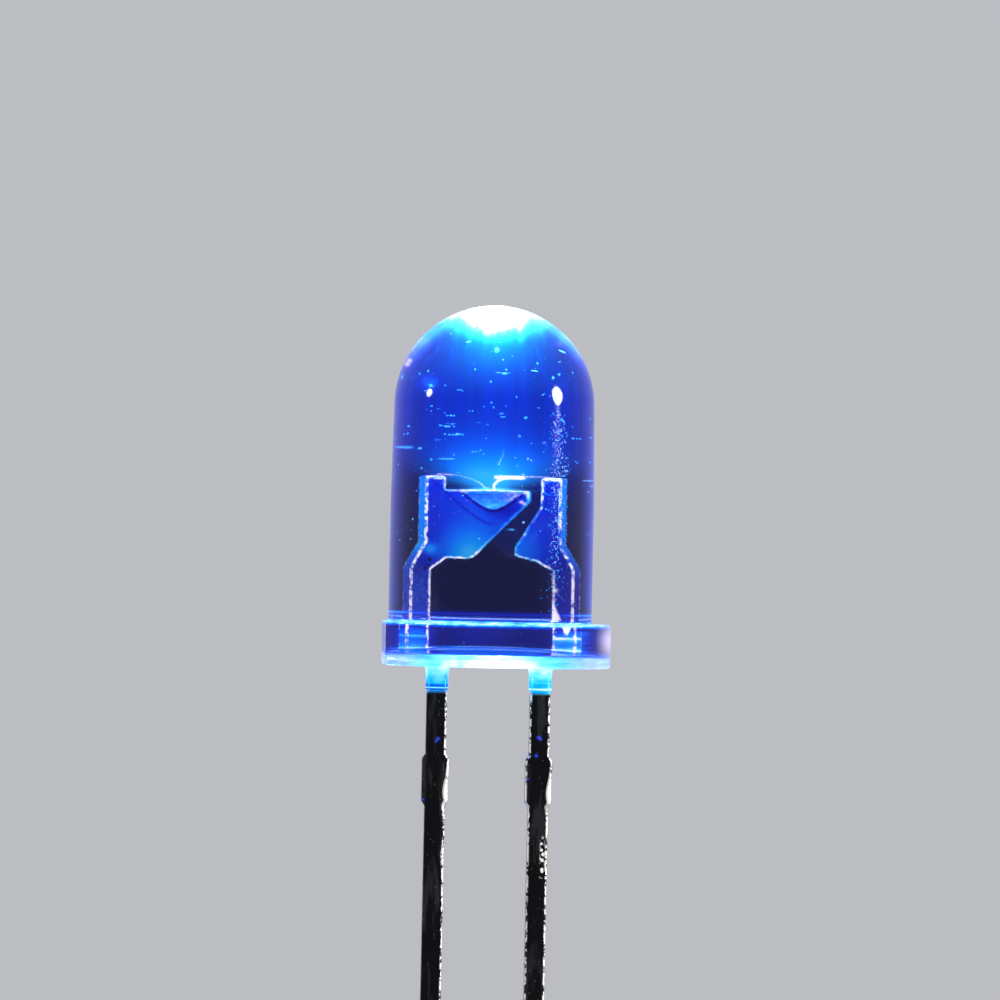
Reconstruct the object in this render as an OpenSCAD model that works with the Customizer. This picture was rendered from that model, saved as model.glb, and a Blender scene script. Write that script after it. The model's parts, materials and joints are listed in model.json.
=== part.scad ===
// Through-hole LED with a clear 5 mm lens.
// The lens axis is Z, the leads lie in the XZ plane and the cathode is on -X.
// Z = 0 is the rim of the flange's underside, which seats on the board.

/* [Lens] */
// Diameter of the barrel that a panel hole or clip takes
barrel_d = 5.0; // [4.8:0.05:5.2]
// Height from the seat to the top of the dome
lens_h = 8.86; // [8.2:0.02:9.4]
// Diameter of the dome, a little less than the barrel so that the lens leaves its mould
dome_d = 4.92; // [4.7:0.02:5.0]
// Height where the barrel's parallel stretch ends and its draft begins
land_z = 4.0; // [3.0:0.1:5.0]
// Diameter of the flange
flange_d = 5.95; // [5.8:0.05:6.3]
// Thickness of the flange
flange_h = 1.07; // [0.95:0.01:1.3]
// Distance from the axis to the flat that marks the cathode
flat_x = 2.6; // [2.55:0.01:2.8]
// Rounding of the flange's two rims
rim_r = 0.06; // [0.02:0.01:0.1]
// Fillet where the barrel meets the flange
root_r = 0.1; // [0.05:0.01:0.15]

/* [Underside] */
// Width of the flat ring that touches the board
seat_w = 0.1; // [0.06:0.01:0.15]
// Height and radius of the lip that the resin left against its mould
lip_r = 0.33; // [0.2:0.01:0.4]
// Depth of the hollow underside on the axis
dish_depth = 0.5; // [0.42:0.01:0.6]
// Length of the resin film that crept down each lead
film_len = 0.6; // [0.4:0.05:0.9]
// Thickness of that film on the flat of the lead
film_t = 0.03; // [0.02:0.005:0.05]
// Radius of the sweep from the film into the underside
sweep_r = 0.75; // [0.6:0.05:0.8]

/* [Leads] */
// Distance between the two lead centres
lead_pitch = 2.54; // [2.4:0.02:2.7]
// Width of each lead below the lens, with its coat of solder
lead_w = 0.5; // [0.48:0.01:0.55]
// Width of each leg inside the lens, where the sheet is bare
leg_w = 0.44; // [0.4:0.01:0.48]
// Height over which the coat of solder thins out below the resin
coat_h = 0.06; // [0.03:0.01:0.1]
// Thickness of the sheet that both frames are stamped from
sheet_t = 0.42; // [0.38:0.01:0.5]
// Length of the cathode lead below the seat
cathode_len = 25.4; // [10:0.1:30]
// How much longer the anode lead is
anode_extra = 1.5; // [1:0.1:3]
// Distance from the seat down to the cut-off tie bar
stub_drop = 2.17; // [1.5:0.01:4]
// Height of the tie bar's stub on each lead
stub_h = 1.28; // [0.8:0.02:1.6]
// How far the stub stands out on each side
stub_out = 0.08; // [0.04:0.01:0.12]
// Height of the sloped end of the stub
stub_slope = 0.12; // [0.05:0.01:0.2]

/* [Posts] */
// Height where the legs begin to step in
shoulder_z = 2.4; // [2.3:0.01:2.5]
// Height of that step
step_h = 0.62; // [0.5:0.01:0.75]
// How far the step brings each leg in
step_in = 0.3; // [0.22:0.01:0.36]
// Height of the top of both posts
post_z = 4.64; // [4.55:0.01:4.8]
// Width of each post's top
post_w = 0.38; // [0.34:0.01:0.42]
// Height of the corner where each leg meets its web
crotch_z = 2.36; // [2.25:0.01:2.45]
// Rounding of the stamped corners
corner_r = 0.06; // [0.03:0.005:0.07]

/* [Cathode arm] */
// Height of the arm's top edge, which is the cup's rim
rim_z = 4.31; // [4.25:0.01:4.4]
// How far the arm reaches past the axis
arm_tip_x = 0.61; // [0.6:0.01:0.66]
// Height of the arm's blunt tip
arm_tip_h = 0.25; // [0.2:0.01:0.3]
// Height of the lower edge of the cathode's web
web_z = 2.64; // [2.58:0.01:2.75]
// Distance from the axis back to the foot of the arm's slope
arm_foot_x = 0.32; // [0.2:0.01:0.4]
// Distance from the axis to the outer end of the web's lower edge
web_x = 0.77; // [0.7:0.01:0.82]
// Rounding between the arm's slope and the web
arm_r = 0.2; // [0.1:0.01:0.25]
// Rounding of the arm's tip on its lower side
arm_tip_r = 0.1; // [0.05:0.01:0.12]

/* [Anode head] */
// Distance from the axis to the anode's nose
nose_x = 0.385; // [0.34:0.005:0.42]
// Height of the top of the nose, where the head's slope begins
nose_z = 2.94; // [2.88:0.01:3.05]
// Height of the nose
nose_h = 0.22; // [0.18:0.01:0.26]
// Height where the slope meets the upright side of the head
neck_z = 3.95; // [3.8:0.01:4.1]
// Rounding of the nose and of the bend above it
nose_r = 0.09; // [0.05:0.01:0.1]
// Distance from the axis to where the head's lower edge turns down
heel_x = 0.74; // [0.68:0.01:0.8]
// Height of that turn
heel_z = 2.6; // [2.54:0.01:2.66]

/* [Reflector cup] */
// Outer radius of the cup's round bowl at its rim
bowl_r = 0.59; // [0.56:0.01:0.6]
// Outer radius of the bowl at its foot, inside the thickness of the sheet
foot_r = 0.19; // [0.15:0.01:0.19]
// Height of the bowl
bowl_h = 0.48; // [0.44:0.01:0.52]
// Inner radius at the rim
cup_r = 0.5; // [0.47:0.01:0.52]
// Inner radius at the floor
floor_r = 0.28; // [0.26:0.01:0.3]
// Depth from the rim to the floor
cup_depth = 0.25; // [0.22:0.01:0.27]

/* [Die] */
// Side of the square die
die_w = 0.3; // [0.24:0.01:0.32]
// Thickness of the die
die_h = 0.1; // [0.08:0.01:0.14]
// Thickness of the adhesive under the die
glue_t = 0.01; // [0.008:0.001:0.02]
// How high the adhesive climbs the sides of the die
glue_h = 0.04; // [0.025:0.005:0.06]
// Radius of the adhesive on the cup's floor
glue_r = 0.255; // [0.235:0.005:0.26]
// Distance from the die's centre to each of its two contacts
contact_x = 0.085; // [0.07:0.005:0.09]

/* [Bond wires] */
// Diameter of the gold wire
wire_d = 0.035; // [0.025:0.001:0.04]
// Diameter of the ball bonded to the die
ball_d = 0.09; // [0.07:0.005:0.1]
// Height of that ball
ball_h = 0.025; // [0.02:0.001:0.035]
// Thickness of the wire's flattened end, as a share of its diameter
stitch_flat = 0.35; // [0.25:0.01:0.5]
// Width of that end, as a share of the wire's diameter
stitch_wide = 1.9; // [1.5:0.1:2.5]
// Height over the post that the cathode wire leaves its ball towards
cathode_rise = -0.1; // [-0.2:0.01:0.05]
// Height over the post that the cathode wire comes down from
cathode_fall = 0.1; // [0.08:0.01:0.15]
// Height over the post that the anode wire leaves its ball towards
anode_rise = 0.2; // [0.1:0.01:0.3]
// Height over the post that the anode wire comes down from
anode_fall = 0.06; // [0.05:0.01:0.1]
// How far the anode wire's start leans back over the axis
anode_lean = 0.2; // [0.1:0.01:0.22]
// Distance from the axis where both wires turn down to their posts
wire_bow_x = 0.48; // [0.4:0.01:0.55]

/* [Hidden] */

$fn = 64;
ARC_STEPS = 6;
WIRE_SIDES = 8;
WIRE_RINGS = 24;
// More than the cuts need, so that each cutting body passes right through
OVER = 1;

barrel_r = barrel_d / 2;
dome_r = dome_d / 2;
flange_r = flange_d / 2;
dome_z = lens_h - dome_r;

// The seat ring's inner edge, on the round side and at the flat
seat_in = flange_r - rim_r - seat_w;
seat_flat_in = flat_x - seat_w;
// The hollow is a shallow cap of a large sphere inside the lip
cap_reach = seat_in - lip_r;
cap_rise = dish_depth - lip_r;
cap_r = (cap_reach ^ 2 + cap_rise ^ 2) / (2 * cap_rise);

// Edges of the legs and posts, as distances from the axis
lead_in = lead_pitch / 2 - lead_w / 2;
lead_out = lead_pitch / 2 + lead_w / 2;
leg_in = lead_pitch / 2 - leg_w / 2;
leg_out = lead_pitch / 2 + leg_w / 2;
post_out = leg_out - step_in;
post_in = post_out - post_w;
post_mid = (post_out + post_in) / 2;

floor_z = rim_z - cup_depth;
die_z = floor_z + glue_t;
die_top = die_z + die_h;

// An outline is a list of corners, [x, z, r]: r is the rounding of that corner.
function unit(v) = v / norm(v);
function flat2(c) = [c[0], c[1]];

function corner_arc(before, corner, after) =
    let (p = flat2(corner), r = corner[2])
    r == 0 ? [p] :
    let (
        u = unit(flat2(before) - p),
        w = unit(flat2(after) - p),
        half = acos(u * w) / 2,
        reach = r / tan(half),
        centre = p + unit(u + w) * r / sin(half),
        start = p + u * reach - centre,
        end = p + w * reach - centre,
        turn = 180 - 2 * half
    )
    [for (i = [0:ARC_STEPS]) let (a = turn * i / ARC_STEPS)
        centre + (start * sin(turn - a) + end * sin(a)) / sin(turn)];

function rounded(corners) =
    let (n = len(corners))
    [for (i = [0:n - 1]) each
        corner_arc(corners[(i + n - 1) % n], corners[i], corners[(i + 1) % n])];

// One side of a lead, from the tip up past the tie bar's stub to the bare leg; out is the way
// that the stub stands.
function lead_side(x, tip_z, out) = [
    [x, tip_z, 0],
    [x, -stub_drop - stub_h, 0],
    [x + out * stub_out, -stub_drop - stub_h + stub_slope, 0],
    [x + out * stub_out, -stub_drop - stub_slope, 0],
    [x, -stub_drop, 0],
    [x, -film_len - coat_h, 0],
    [x - out * (lead_w - leg_w) / 2, -film_len, 0],
];

function backwards(list) = [for (i = [len(list) - 1:-1:0]) list[i]];

function cathode_outline() = concat(
    lead_side(-lead_out, -cathode_len, -1),
    [
        [-leg_out, shoulder_z, corner_r],
        [-post_out, shoulder_z + step_h, corner_r],
        [-post_out, post_z, corner_r],
        [-post_in, post_z, corner_r],
        [-post_in, rim_z, corner_r],
        [arm_tip_x, rim_z, corner_r],
        [arm_tip_x, rim_z - arm_tip_h, arm_tip_r],
        [-arm_foot_x, web_z, arm_r],
        [-web_x, web_z, corner_r],
        [-leg_in, crotch_z, corner_r],
    ],
    backwards(lead_side(-lead_in, -cathode_len, 1))
);

function anode_outline() = concat(
    lead_side(lead_in, -cathode_len - anode_extra, -1),
    [
        [leg_in, crotch_z, corner_r],
        [heel_x, heel_z, corner_r],
        [nose_x, nose_z - nose_h, nose_r],
        [nose_x, nose_z, nose_r],
        [post_in, neck_z, nose_r],
        [post_in, post_z, corner_r],
        [post_out, post_z, corner_r],
        [post_out, shoulder_z + step_h, corner_r],
        [leg_out, shoulder_z, corner_r],
    ],
    backwards(lead_side(lead_out, -cathode_len - anode_extra, 1))
);

// A shape drawn in X and Z, as thick as t along Y and centred on the XZ plane.
module upright(t) {
    translate([0, t / 2, 0]) rotate([90, 0, 0]) linear_extrude(t) children();
}

// Bezier curve in X and Z, and the way it runs at each point
function curve(c, t) =
    c[0] * (1 - t) ^ 3 + c[1] * 3 * t * (1 - t) ^ 2 + c[2] * 3 * t ^ 2 * (1 - t) + c[3] * t ^ 3;
function heading(c, t) = unit(
    (c[1] - c[0]) * (1 - t) ^ 2 + (c[2] - c[1]) * 2 * t * (1 - t) + (c[3] - c[2]) * t ^ 2
);

// The last tenth of a wire is pressed flat and wide by the bonding tool.
STITCH_T = 0.9;
function pressed(t, share) = t < STITCH_T ? 1 : 1 + (share - 1) * (t - STITCH_T) / (1 - STITCH_T);

function wire_ring(c, t) =
    let (
        p = curve(c, t),
        d = heading(c, t),
        high = wire_d / 2 * pressed(t, stitch_flat),
        wide = wire_d / 2 * pressed(t, stitch_wide)
    )
    [for (i = [0:WIRE_SIDES - 1]) let (a = 360 * (i + 0.5) / WIRE_SIDES)
        [p[0] - d[1] * high * cos(a), wide * sin(a), p[1] + d[0] * high * cos(a)]];

module wire_sweep(c) {
    n = WIRE_SIDES;
    last = WIRE_RINGS * n;
    points = [for (k = [0:WIRE_RINGS]) each wire_ring(c, k / WIRE_RINGS)];
    sides = [for (k = [0:WIRE_RINGS - 1], i = [0:n - 1]) let (a = k * n + i, b = k * n + (i + 1) % n)
        each [[a, b, b + n], [a, b + n, a + n]]];
    polyhedron(
        points,
        concat(sides, [[for (i = [n - 1:-1:0]) i]], [[for (i = [0:n - 1]) last + i]]),
        convexity = 4
    );
}

// A wire starts in its ball on the die and ends in a stitch on the post of the same side, -1 or 1.
module bond_wire(side, lean_x, rise, fall) {
    translate([side * contact_x, 0, die_top]) cylinder(d = ball_d, h = ball_h);
    wire_sweep([
        [side * contact_x, die_top + ball_h / 2],
        [lean_x, post_z + rise],
        [side * wire_bow_x, post_z + fall],
        [side * post_mid, post_z + wire_d / 2 * stitch_flat * cos(180 / WIRE_SIDES)],
    ]);
}

// Half of the lens's section, to the right of its axis
module lens_half() {
    difference() {
        union() {
            square([flange_r, flange_h]);
            polygon([
                [0, 0], [barrel_r, 0], [barrel_r, land_z], [dome_r, dome_z], [0, dome_z],
            ]);
            translate([0, dome_z]) intersection() {
                circle(dome_r);
                square([dome_r, dome_r]);
            }
            translate([barrel_r - OVER, flange_h]) square([root_r + OVER, root_r]);
        }
        translate([barrel_r + root_r, flange_h + root_r]) circle(root_r);
        rim_cut(0, 1);
        rim_cut(flange_h, -1);
    }
}

// What rounds off the flange's rim at height z; into is the way to the flange's middle, 1 or -1.
module rim_cut(z, into) {
    translate([flange_r - rim_r, z]) scale_z(into) difference() {
        square([rim_r + OVER, rim_r]);
        translate([0, rim_r]) circle(rim_r);
    }
}

// A flat shape as it is drawn, or upside down
module scale_z(way) {
    mirror([0, way < 0 ? 1 : 0]) children();
}

// The hollow underside as a round body, held back from the flat by a lip like the round one
module dish() {
    intersection() {
        rotate_extrude() union() {
            translate([0, -OVER]) square([cap_reach, OVER + lip_r]);
            intersection() {
                translate([cap_reach, 0]) circle(lip_r);
                translate([0, -OVER]) square([flange_r, flange_r]);
            }
            intersection() {
                translate([0, dish_depth - cap_r]) circle(cap_r);
                square([cap_reach, flange_h]);
            }
        }
        upright(flange_d + 2 * OVER) union() {
            translate([-seat_flat_in, -2 * OVER]) square([2 * flange_r, 2 * OVER]);
            translate([lip_r - seat_flat_in, 0]) circle(lip_r);
            translate([lip_r - seat_flat_in, -OVER]) square([2 * flange_r, 2 * OVER + lip_r]);
        }
    }
}

// The resin drawn down one lead, swept into the underside
module meniscus() {
    film_r = lead_w / 2 + film_t;
    sweep_z = dish_depth - sweep_r;
    rotate_extrude() union() {
        translate([0, -film_len]) square([film_r, film_len + dish_depth]);
        difference() {
            translate([0, sweep_z]) square([film_r + sweep_r, sweep_r + lip_r / 2]);
            translate([film_r + sweep_r, sweep_z]) circle(sweep_r);
        }
    }
}

module epoxy_lens() {
    color([0.55, 0.75, 1.0, 0.35]) difference() {
        union() {
            difference() {
                rotate_extrude() lens_half();
                translate([-flat_x - flange_r, -flange_r, -OVER])
                    cube([flange_r, flange_d, flange_h + OVER]);
                dish();
            }
            for (side = [-1, 1]) translate([side * lead_pitch / 2, 0, 0]) meniscus();
        }
        cathode_form();
        anode_form();
        die_form();
        attach_form();
        cathode_wire_form();
        anode_wire_form();
    }
}

module cathode_form() {
    difference() {
        union() {
            upright(sheet_t) polygon(rounded(cathode_outline()));
            translate([0, 0, rim_z - bowl_h]) cylinder(r1 = foot_r, r2 = bowl_r, h = bowl_h);
        }
        translate([0, 0, floor_z]) cylinder(r1 = floor_r, r2 = cup_r, h = cup_depth);
        translate([0, 0, rim_z]) cylinder(r = cup_r, h = OVER);
    }
}

module anode_form() {
    upright(sheet_t) polygon(rounded(anode_outline()));
}

module die_form() {
    translate([-die_w / 2, -die_w / 2, die_z]) cube([die_w, die_w, die_h]);
}

module attach_form() {
    difference() {
        translate([0, 0, floor_z]) cylinder(r1 = glue_r, r2 = die_w * sqrt(2) / 2, h = glue_h);
        die_form();
    }
}

module cathode_wire_form() {
    bond_wire(-1, -contact_x, cathode_rise, cathode_fall);
}

module anode_wire_form() {
    bond_wire(1, -anode_lean, anode_rise, anode_fall);
}

module cathode_frame() {
    color([0.78, 0.79, 0.8]) cathode_form();
}

module anode_frame() {
    color([0.78, 0.79, 0.8]) anode_form();
}

module led_die() {
    color([0.25, 0.65, 1.0]) die_form();
}

module die_attach() {
    color([0.85, 0.86, 0.9]) attach_form();
}

module cathode_bond_wire() {
    color([0.95, 0.76, 0.3]) cathode_wire_form();
}

module anode_bond_wire() {
    color([0.95, 0.76, 0.3]) anode_wire_form();
}

epoxy_lens();
cathode_frame();
anode_frame();
led_die();
die_attach();
cathode_bond_wire();
anode_bond_wire();
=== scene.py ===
# %% [markdown]
# # A lit blue LED on long leads
# A light-emitting diode is a chip of crystal that glows when a current runs through it. The chip
# sits in a small metal cup, two stamped frames carry the current, two gold wires finer than a hair
# join them to the chip, and clear resin is cast round the lot to make the lens.
#
# The measured part comes first, as a fixed frame. Every piece below is built round it, in metres
# and in the same place, so nothing has to be fitted afterwards.

# %% Load the frame
import json
import math
import random

import bmesh
import bpy
from mathutils import Matrix, Vector, noise


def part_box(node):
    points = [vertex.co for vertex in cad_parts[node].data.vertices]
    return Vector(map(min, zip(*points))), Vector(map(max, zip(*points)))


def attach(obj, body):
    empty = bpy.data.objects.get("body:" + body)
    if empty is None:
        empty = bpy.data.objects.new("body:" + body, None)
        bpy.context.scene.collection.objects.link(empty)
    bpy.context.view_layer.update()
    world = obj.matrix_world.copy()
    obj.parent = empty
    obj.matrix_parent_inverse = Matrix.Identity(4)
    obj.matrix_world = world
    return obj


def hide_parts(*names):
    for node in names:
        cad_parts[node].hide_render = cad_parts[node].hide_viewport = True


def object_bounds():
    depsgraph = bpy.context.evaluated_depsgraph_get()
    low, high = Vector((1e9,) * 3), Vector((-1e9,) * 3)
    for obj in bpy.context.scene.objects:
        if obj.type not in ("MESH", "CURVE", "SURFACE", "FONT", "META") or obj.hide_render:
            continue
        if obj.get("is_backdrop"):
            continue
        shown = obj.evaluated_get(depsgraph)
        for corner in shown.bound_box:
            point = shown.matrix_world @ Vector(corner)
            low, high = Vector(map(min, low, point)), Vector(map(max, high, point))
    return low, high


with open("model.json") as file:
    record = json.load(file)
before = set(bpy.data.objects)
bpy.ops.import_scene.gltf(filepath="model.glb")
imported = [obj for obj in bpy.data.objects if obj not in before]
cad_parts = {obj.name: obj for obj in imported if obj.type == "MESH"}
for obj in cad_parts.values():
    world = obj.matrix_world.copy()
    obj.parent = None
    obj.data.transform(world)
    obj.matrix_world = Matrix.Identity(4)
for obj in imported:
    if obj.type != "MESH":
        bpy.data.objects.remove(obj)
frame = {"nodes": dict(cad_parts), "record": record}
cad_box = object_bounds()
scene = bpy.context.scene
print("nodes in the frame:", ", ".join(sorted(frame["nodes"])))

# %% [markdown]
# ## Sizes
# The main sizes are read from the frame, so that the pieces follow the part if it changes. The
# frame has no use for finer ones, such as the rounding of a punched edge, so each of those is named
# where it is first needed, in millimetres.
#
# The lens stands on its flange at height 0, with its axis upright. The cathode is on -X, the anode
# on +X, and the front is -Y.

# %% Sizes read from the frame
MM = 0.001
LEAD_PITCH = 2.54 * MM
lens_low, lens_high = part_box("epoxy_lens")
mounts = {mount["name"]: mount for mount in frame["record"]["mounts"]}
barrel_r = mounts["barrel"]["dims"]["r_mm"] * MM
flange_r = lens_high.x
flange_h = mounts["flange_shoulder"]["pos_m"][2]
flat_x = -lens_low.x
lens_top = lens_high.z
film_foot = lens_low.z
chip_low, chip_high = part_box("led_die")
glue_low, glue_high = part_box("die_attach")
sheet_t = 2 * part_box("anode_frame")[1].y
post_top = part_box("anode_frame")[1].z
lead_x = LEAD_PITCH / 2
print(f"lens {2 * barrel_r / MM:.2f} mm across, its top at {lens_top / MM:.2f} mm")
print(f"sheet {sheet_t / MM:.2f} mm thick, leads {2 * lead_x / MM:.2f} mm apart")

# %% [markdown]
# ## Small tools for meshes
# A turned form, such as a lens, is easiest as a profile: a list of points [radius, height] that is
# spun round an upright axis. An arc in the profile becomes a rounding of the form.

# %% Profiles and turned forms
def arc(centre_r, centre_z, radius, start, end, steps):
    """Points on an arc of a profile; start and end are in degrees."""
    points = []
    for step in range(steps + 1):
        angle = math.radians(start + (end - start) * step / steps)
        points.append((centre_r + radius * math.cos(angle), centre_z + radius * math.sin(angle)))
    return points


def new_piece(name, bm):
    """Turns a bmesh into an object in the scene."""
    mesh = bpy.data.meshes.new(name)
    bm.to_mesh(mesh)
    bm.free()
    piece = bpy.data.objects.new(name, mesh)
    scene.collection.objects.link(piece)
    return piece


def turned(name, profile, sides, x=0.0):
    """A profile spun round the upright axis through x."""
    bm = bmesh.new()
    rings = []
    for radius, z in profile:
        if radius < 1e-9:
            rings.append([bm.verts.new((x, 0, z))])
            continue
        turns = [2 * math.pi * side / sides for side in range(sides)]
        rings.append([bm.verts.new((x + radius * math.cos(a), radius * math.sin(a), z)) for a in turns])
    for low, high in zip(rings, rings[1:]):
        for side in range(sides):
            corners = []
            for ring, steps in ((low, (side, side + 1)), (high, (side + 1, side))):
                corners += [ring[step % len(ring)] for step in steps[:len(ring)]]
            bm.faces.new(corners)
    bmesh.ops.recalc_face_normals(bm, faces=bm.faces)
    return new_piece(name, bm)

# %% [markdown]
# A form that isn't round all the way is cut with another one. Blender's boolean modifier does the
# cut, and its result is written back to the mesh, so that the piece is plain geometry afterwards.

# %% Cutting and joining forms
def upright_block(name, outline, half_depth):
    """An outline of points [x, z], as a block that reaches half_depth in front and behind."""
    bm = bmesh.new()
    face = bm.faces.new([bm.verts.new((x, -half_depth, z)) for x, z in outline])
    made = bmesh.ops.extrude_face_region(bm, geom=[face])
    moved = [item for item in made["geom"] if isinstance(item, bmesh.types.BMVert)]
    bmesh.ops.translate(bm, vec=(0, 2 * half_depth, 0), verts=moved)
    bmesh.ops.recalc_face_normals(bm, faces=bm.faces)
    return new_piece(name, bm)


def combine(piece, tool, operation):
    """Cuts or joins the piece with a tool, and removes the tool."""
    modifier = piece.modifiers.new(operation, "BOOLEAN")
    modifier.object, modifier.operation, modifier.solver = tool, operation, "EXACT"
    depsgraph = bpy.context.evaluated_depsgraph_get()
    made = bpy.data.meshes.new_from_object(piece.evaluated_get(depsgraph))
    piece.modifiers.clear()
    piece.data = made
    bpy.data.objects.remove(tool)
    return piece


def smooth_under(piece, degrees):
    """Shades the piece smooth, with a crease wherever two faces meet at more than this angle."""
    piece.data.shade_smooth()
    piece.data.set_sharp_from_angle(angle=math.radians(degrees))

# %% [markdown]
# ## The lens
# The resin is poured into a polished mould with the frames hanging in it, upside down. It comes out
# as one solid: a dome, a barrel that narrows a little so that it leaves the mould, and a flange
# with a flat on the cathode's side. The open side of the mould was the flange's underside, where
# the resin sank into a shallow hollow and crept a little way down each lead.
#
# One closed mesh stands for all of it. The frames simply stand inside, as they do in the real
# resin, and light bends once where it goes in and once where it comes out.

# %% Sizes of the lens
DOME_R = 2.46 * MM
LAND_Z = 4.0 * MM  # up to here the barrel is straight, and above it narrows
RIM_R = 0.06 * MM  # rounding of the flange's rims
ROOT_R = 0.1 * MM  # fillet between flange and barrel
SEAT_W = 0.1 * MM  # the flat ring that stands on a board
LIP_R = 0.33 * MM
DISH_DEPTH = 0.5 * MM
FILM_R = 0.28 * MM
FILM_FOOT_R = 0.03 * MM
FILM_OVERLAP = 0.2 * MM  # how far the film's form reaches up into the resin
SWEEP_R = 0.75 * MM
CLEAR = 1 * MM  # how far a cutting form reaches past what it cuts
LENS_SIDES = 256
HOLLOW_SIDES = 192
FILM_SIDES = 96
dome_z = lens_top - DOME_R
seat_in = flange_r - RIM_R - SEAT_W
seat_flat_in = flat_x - SEAT_W


def stretch(low, high, steps):
    """Points along a straight stretch of a profile, without its first one."""
    share = [step / steps for step in range(1, steps + 1)]
    return [(low[0] + (high[0] - low[0]) * s, low[1] + (high[1] - low[1]) * s) for s in share]

# %% The outside of the lens
def lens_profile():
    """Flange, fillet, barrel and dome, from the middle of the underside to the top."""
    foot = (barrel_r, flange_h + ROOT_R)
    land = (barrel_r, LAND_Z)
    brow = (DOME_R, dome_z)
    return (
        [(0, 0), (flange_r - RIM_R, 0)]
        + arc(flange_r - RIM_R, RIM_R, RIM_R, -90, 0, 6)[1:]
        + arc(flange_r - RIM_R, flange_h - RIM_R, RIM_R, 0, 90, 6)
        + arc(barrel_r + ROOT_R, flange_h + ROOT_R, ROOT_R, -90, -180, 8)
        + stretch(foot, land, 12) + stretch(land, brow, 12)
        + arc(0, dome_z, DOME_R, 0, 90, 48)[1:]
    )


lens = turned("clear_resin_lens", lens_profile(), LENS_SIDES)
outside_flat = [
    (-2 * flange_r, -CLEAR), (-flat_x, -CLEAR), (-flat_x, flange_h), (-2 * flange_r, flange_h),
]
combine(lens, upright_block("flat_tool", outside_flat, 2 * flange_r), "DIFFERENCE")
print("outside of the lens:", len(lens.data.polygons), "faces")

# %% The hollow underside
def hollow():
    """A lip round the rim and a shallow cap over the middle, held back from the flat."""
    reach, rise = seat_in - LIP_R, DISH_DEPTH - LIP_R
    cap_r = (reach ** 2 + rise ** 2) / (2 * rise)
    half = math.degrees(math.asin(reach / cap_r))
    lip = arc(reach, 0, LIP_R, 0, 90, 16)
    cap = arc(0, DISH_DEPTH - cap_r, cap_r, 90 - half, 90, 24)[1:]
    body = turned("hollow_tool", [(0, -CLEAR), (seat_in, -CLEAR)] + lip + cap, HOLLOW_SIDES)
    keep = [(2 * flange_r, -2 * CLEAR), (2 * flange_r, CLEAR), (LIP_R - seat_flat_in, CLEAR)]
    keep += arc(LIP_R - seat_flat_in, 0, LIP_R, 90, 180, 12) + [(-seat_flat_in, -2 * CLEAR)]
    return combine(body, upright_block("keep_tool", keep, 2 * flange_r), "INTERSECT")


def film(x):
    """The resin drawn down one lead, swept into the underside."""
    sweep_z = DISH_DEPTH - SWEEP_R
    side = arc(FILM_R + SWEEP_R, sweep_z, SWEEP_R, 180, 90, 24)
    foot = arc(FILM_R - FILM_FOOT_R, film_foot + FILM_FOOT_R, FILM_FOOT_R, -90, 0, 4)
    roof = DISH_DEPTH + FILM_OVERLAP
    top = [(FILM_R + SWEEP_R, roof), (0, roof)]
    return turned("film_tool", [(0, film_foot)] + foot + side + top, FILM_SIDES, x)


combine(lens, hollow(), "DIFFERENCE")
for side in (-1, 1):
    combine(lens, film(side * lead_x), "UNION")
smooth_under(lens, 28)
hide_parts("epoxy_lens")
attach(lens, "root")
print("lens:", len(lens.data.polygons), "faces")

# %% [markdown]
# ## The two frames
# Both frames are punched from one strip of steel and then plated. A punched edge is never sharp:
# the sheet rolls over where the punch goes in, and breaks with a ragged burr where it comes out.
# These edges catch the light all the way down a lead, so they have to be real geometry.
#
# The outline of each frame is read from the front face of the measured solid. It gets a stop every
# few hundredths of a millimetre, and the sheet is then a stack of rings with this outline. The
# rings near the front and the back draw in, which rounds the edge, and the middle ones wander in
# and out a little, which makes the burr.

# %% Read the outline of a frame
OUTLINE_STOP = 0.06 * MM
WELD = 0.0002 * MM
BOWL_R, FOOT_R, BOWL_H = 0.59 * MM, 0.19 * MM, 0.48 * MM
CUP_R, CUP_FLOOR_R, CUP_DEPTH = 0.5 * MM, 0.28 * MM, 0.25 * MM
RIM_ROUND = 0.02 * MM
RIM_SLACK, BOWL_SLACK = 0.001 * MM, 0.004 * MM
cup_floor = glue_low.z
rim_z = cup_floor + CUP_DEPTH
half_t = sheet_t / 2


def on_bowl(x, y, z):
    """True on the outside of the cup's round bowl."""
    cone = BOWL_R - (BOWL_R - FOOT_R) * (rim_z - z) / BOWL_H
    return z < rim_z - RIM_SLACK and abs(math.hypot(x, y) - cone) < BOWL_SLACK


def front_outline(node):
    """Points [x, z] round the front face of the sheet, passing behind the bowl."""
    bm = bmesh.new()
    bm.from_mesh(frame["nodes"][node].data)
    bmesh.ops.remove_doubles(bm, verts=bm.verts, dist=WELD)
    bmesh.ops.dissolve_limit(bm, angle_limit=math.radians(0.4), verts=bm.verts, edges=bm.edges)
    facing = [face for face in bm.faces if face.normal.y < -0.999]
    front = max(facing, key=lambda face: face.calc_area())
    places = [vert.co.copy() for vert in front.verts]
    bm.free()
    return [Vector((p.x, p.z)) for p in places if not on_bowl(*p)]


def even_stops(outline):
    """The same outline with close points merged and long stretches divided, anticlockwise."""
    kept = [outline[0]]
    for point in outline[1:]:
        if (point - kept[-1]).length > OUTLINE_STOP / 5:
            kept.append(point)
    stops = []
    for here, after in zip(kept, kept[1:] + kept[:1]):
        count = max(1, round((after - here).length / OUTLINE_STOP))
        stops += [here.lerp(after, k / count) for k in range(count)]
    turn = sum(p.x * q.y - q.x * p.y for p, q in zip(stops, stops[1:] + stops[:1]))
    return stops if turn > 0 else stops[::-1]

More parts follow.
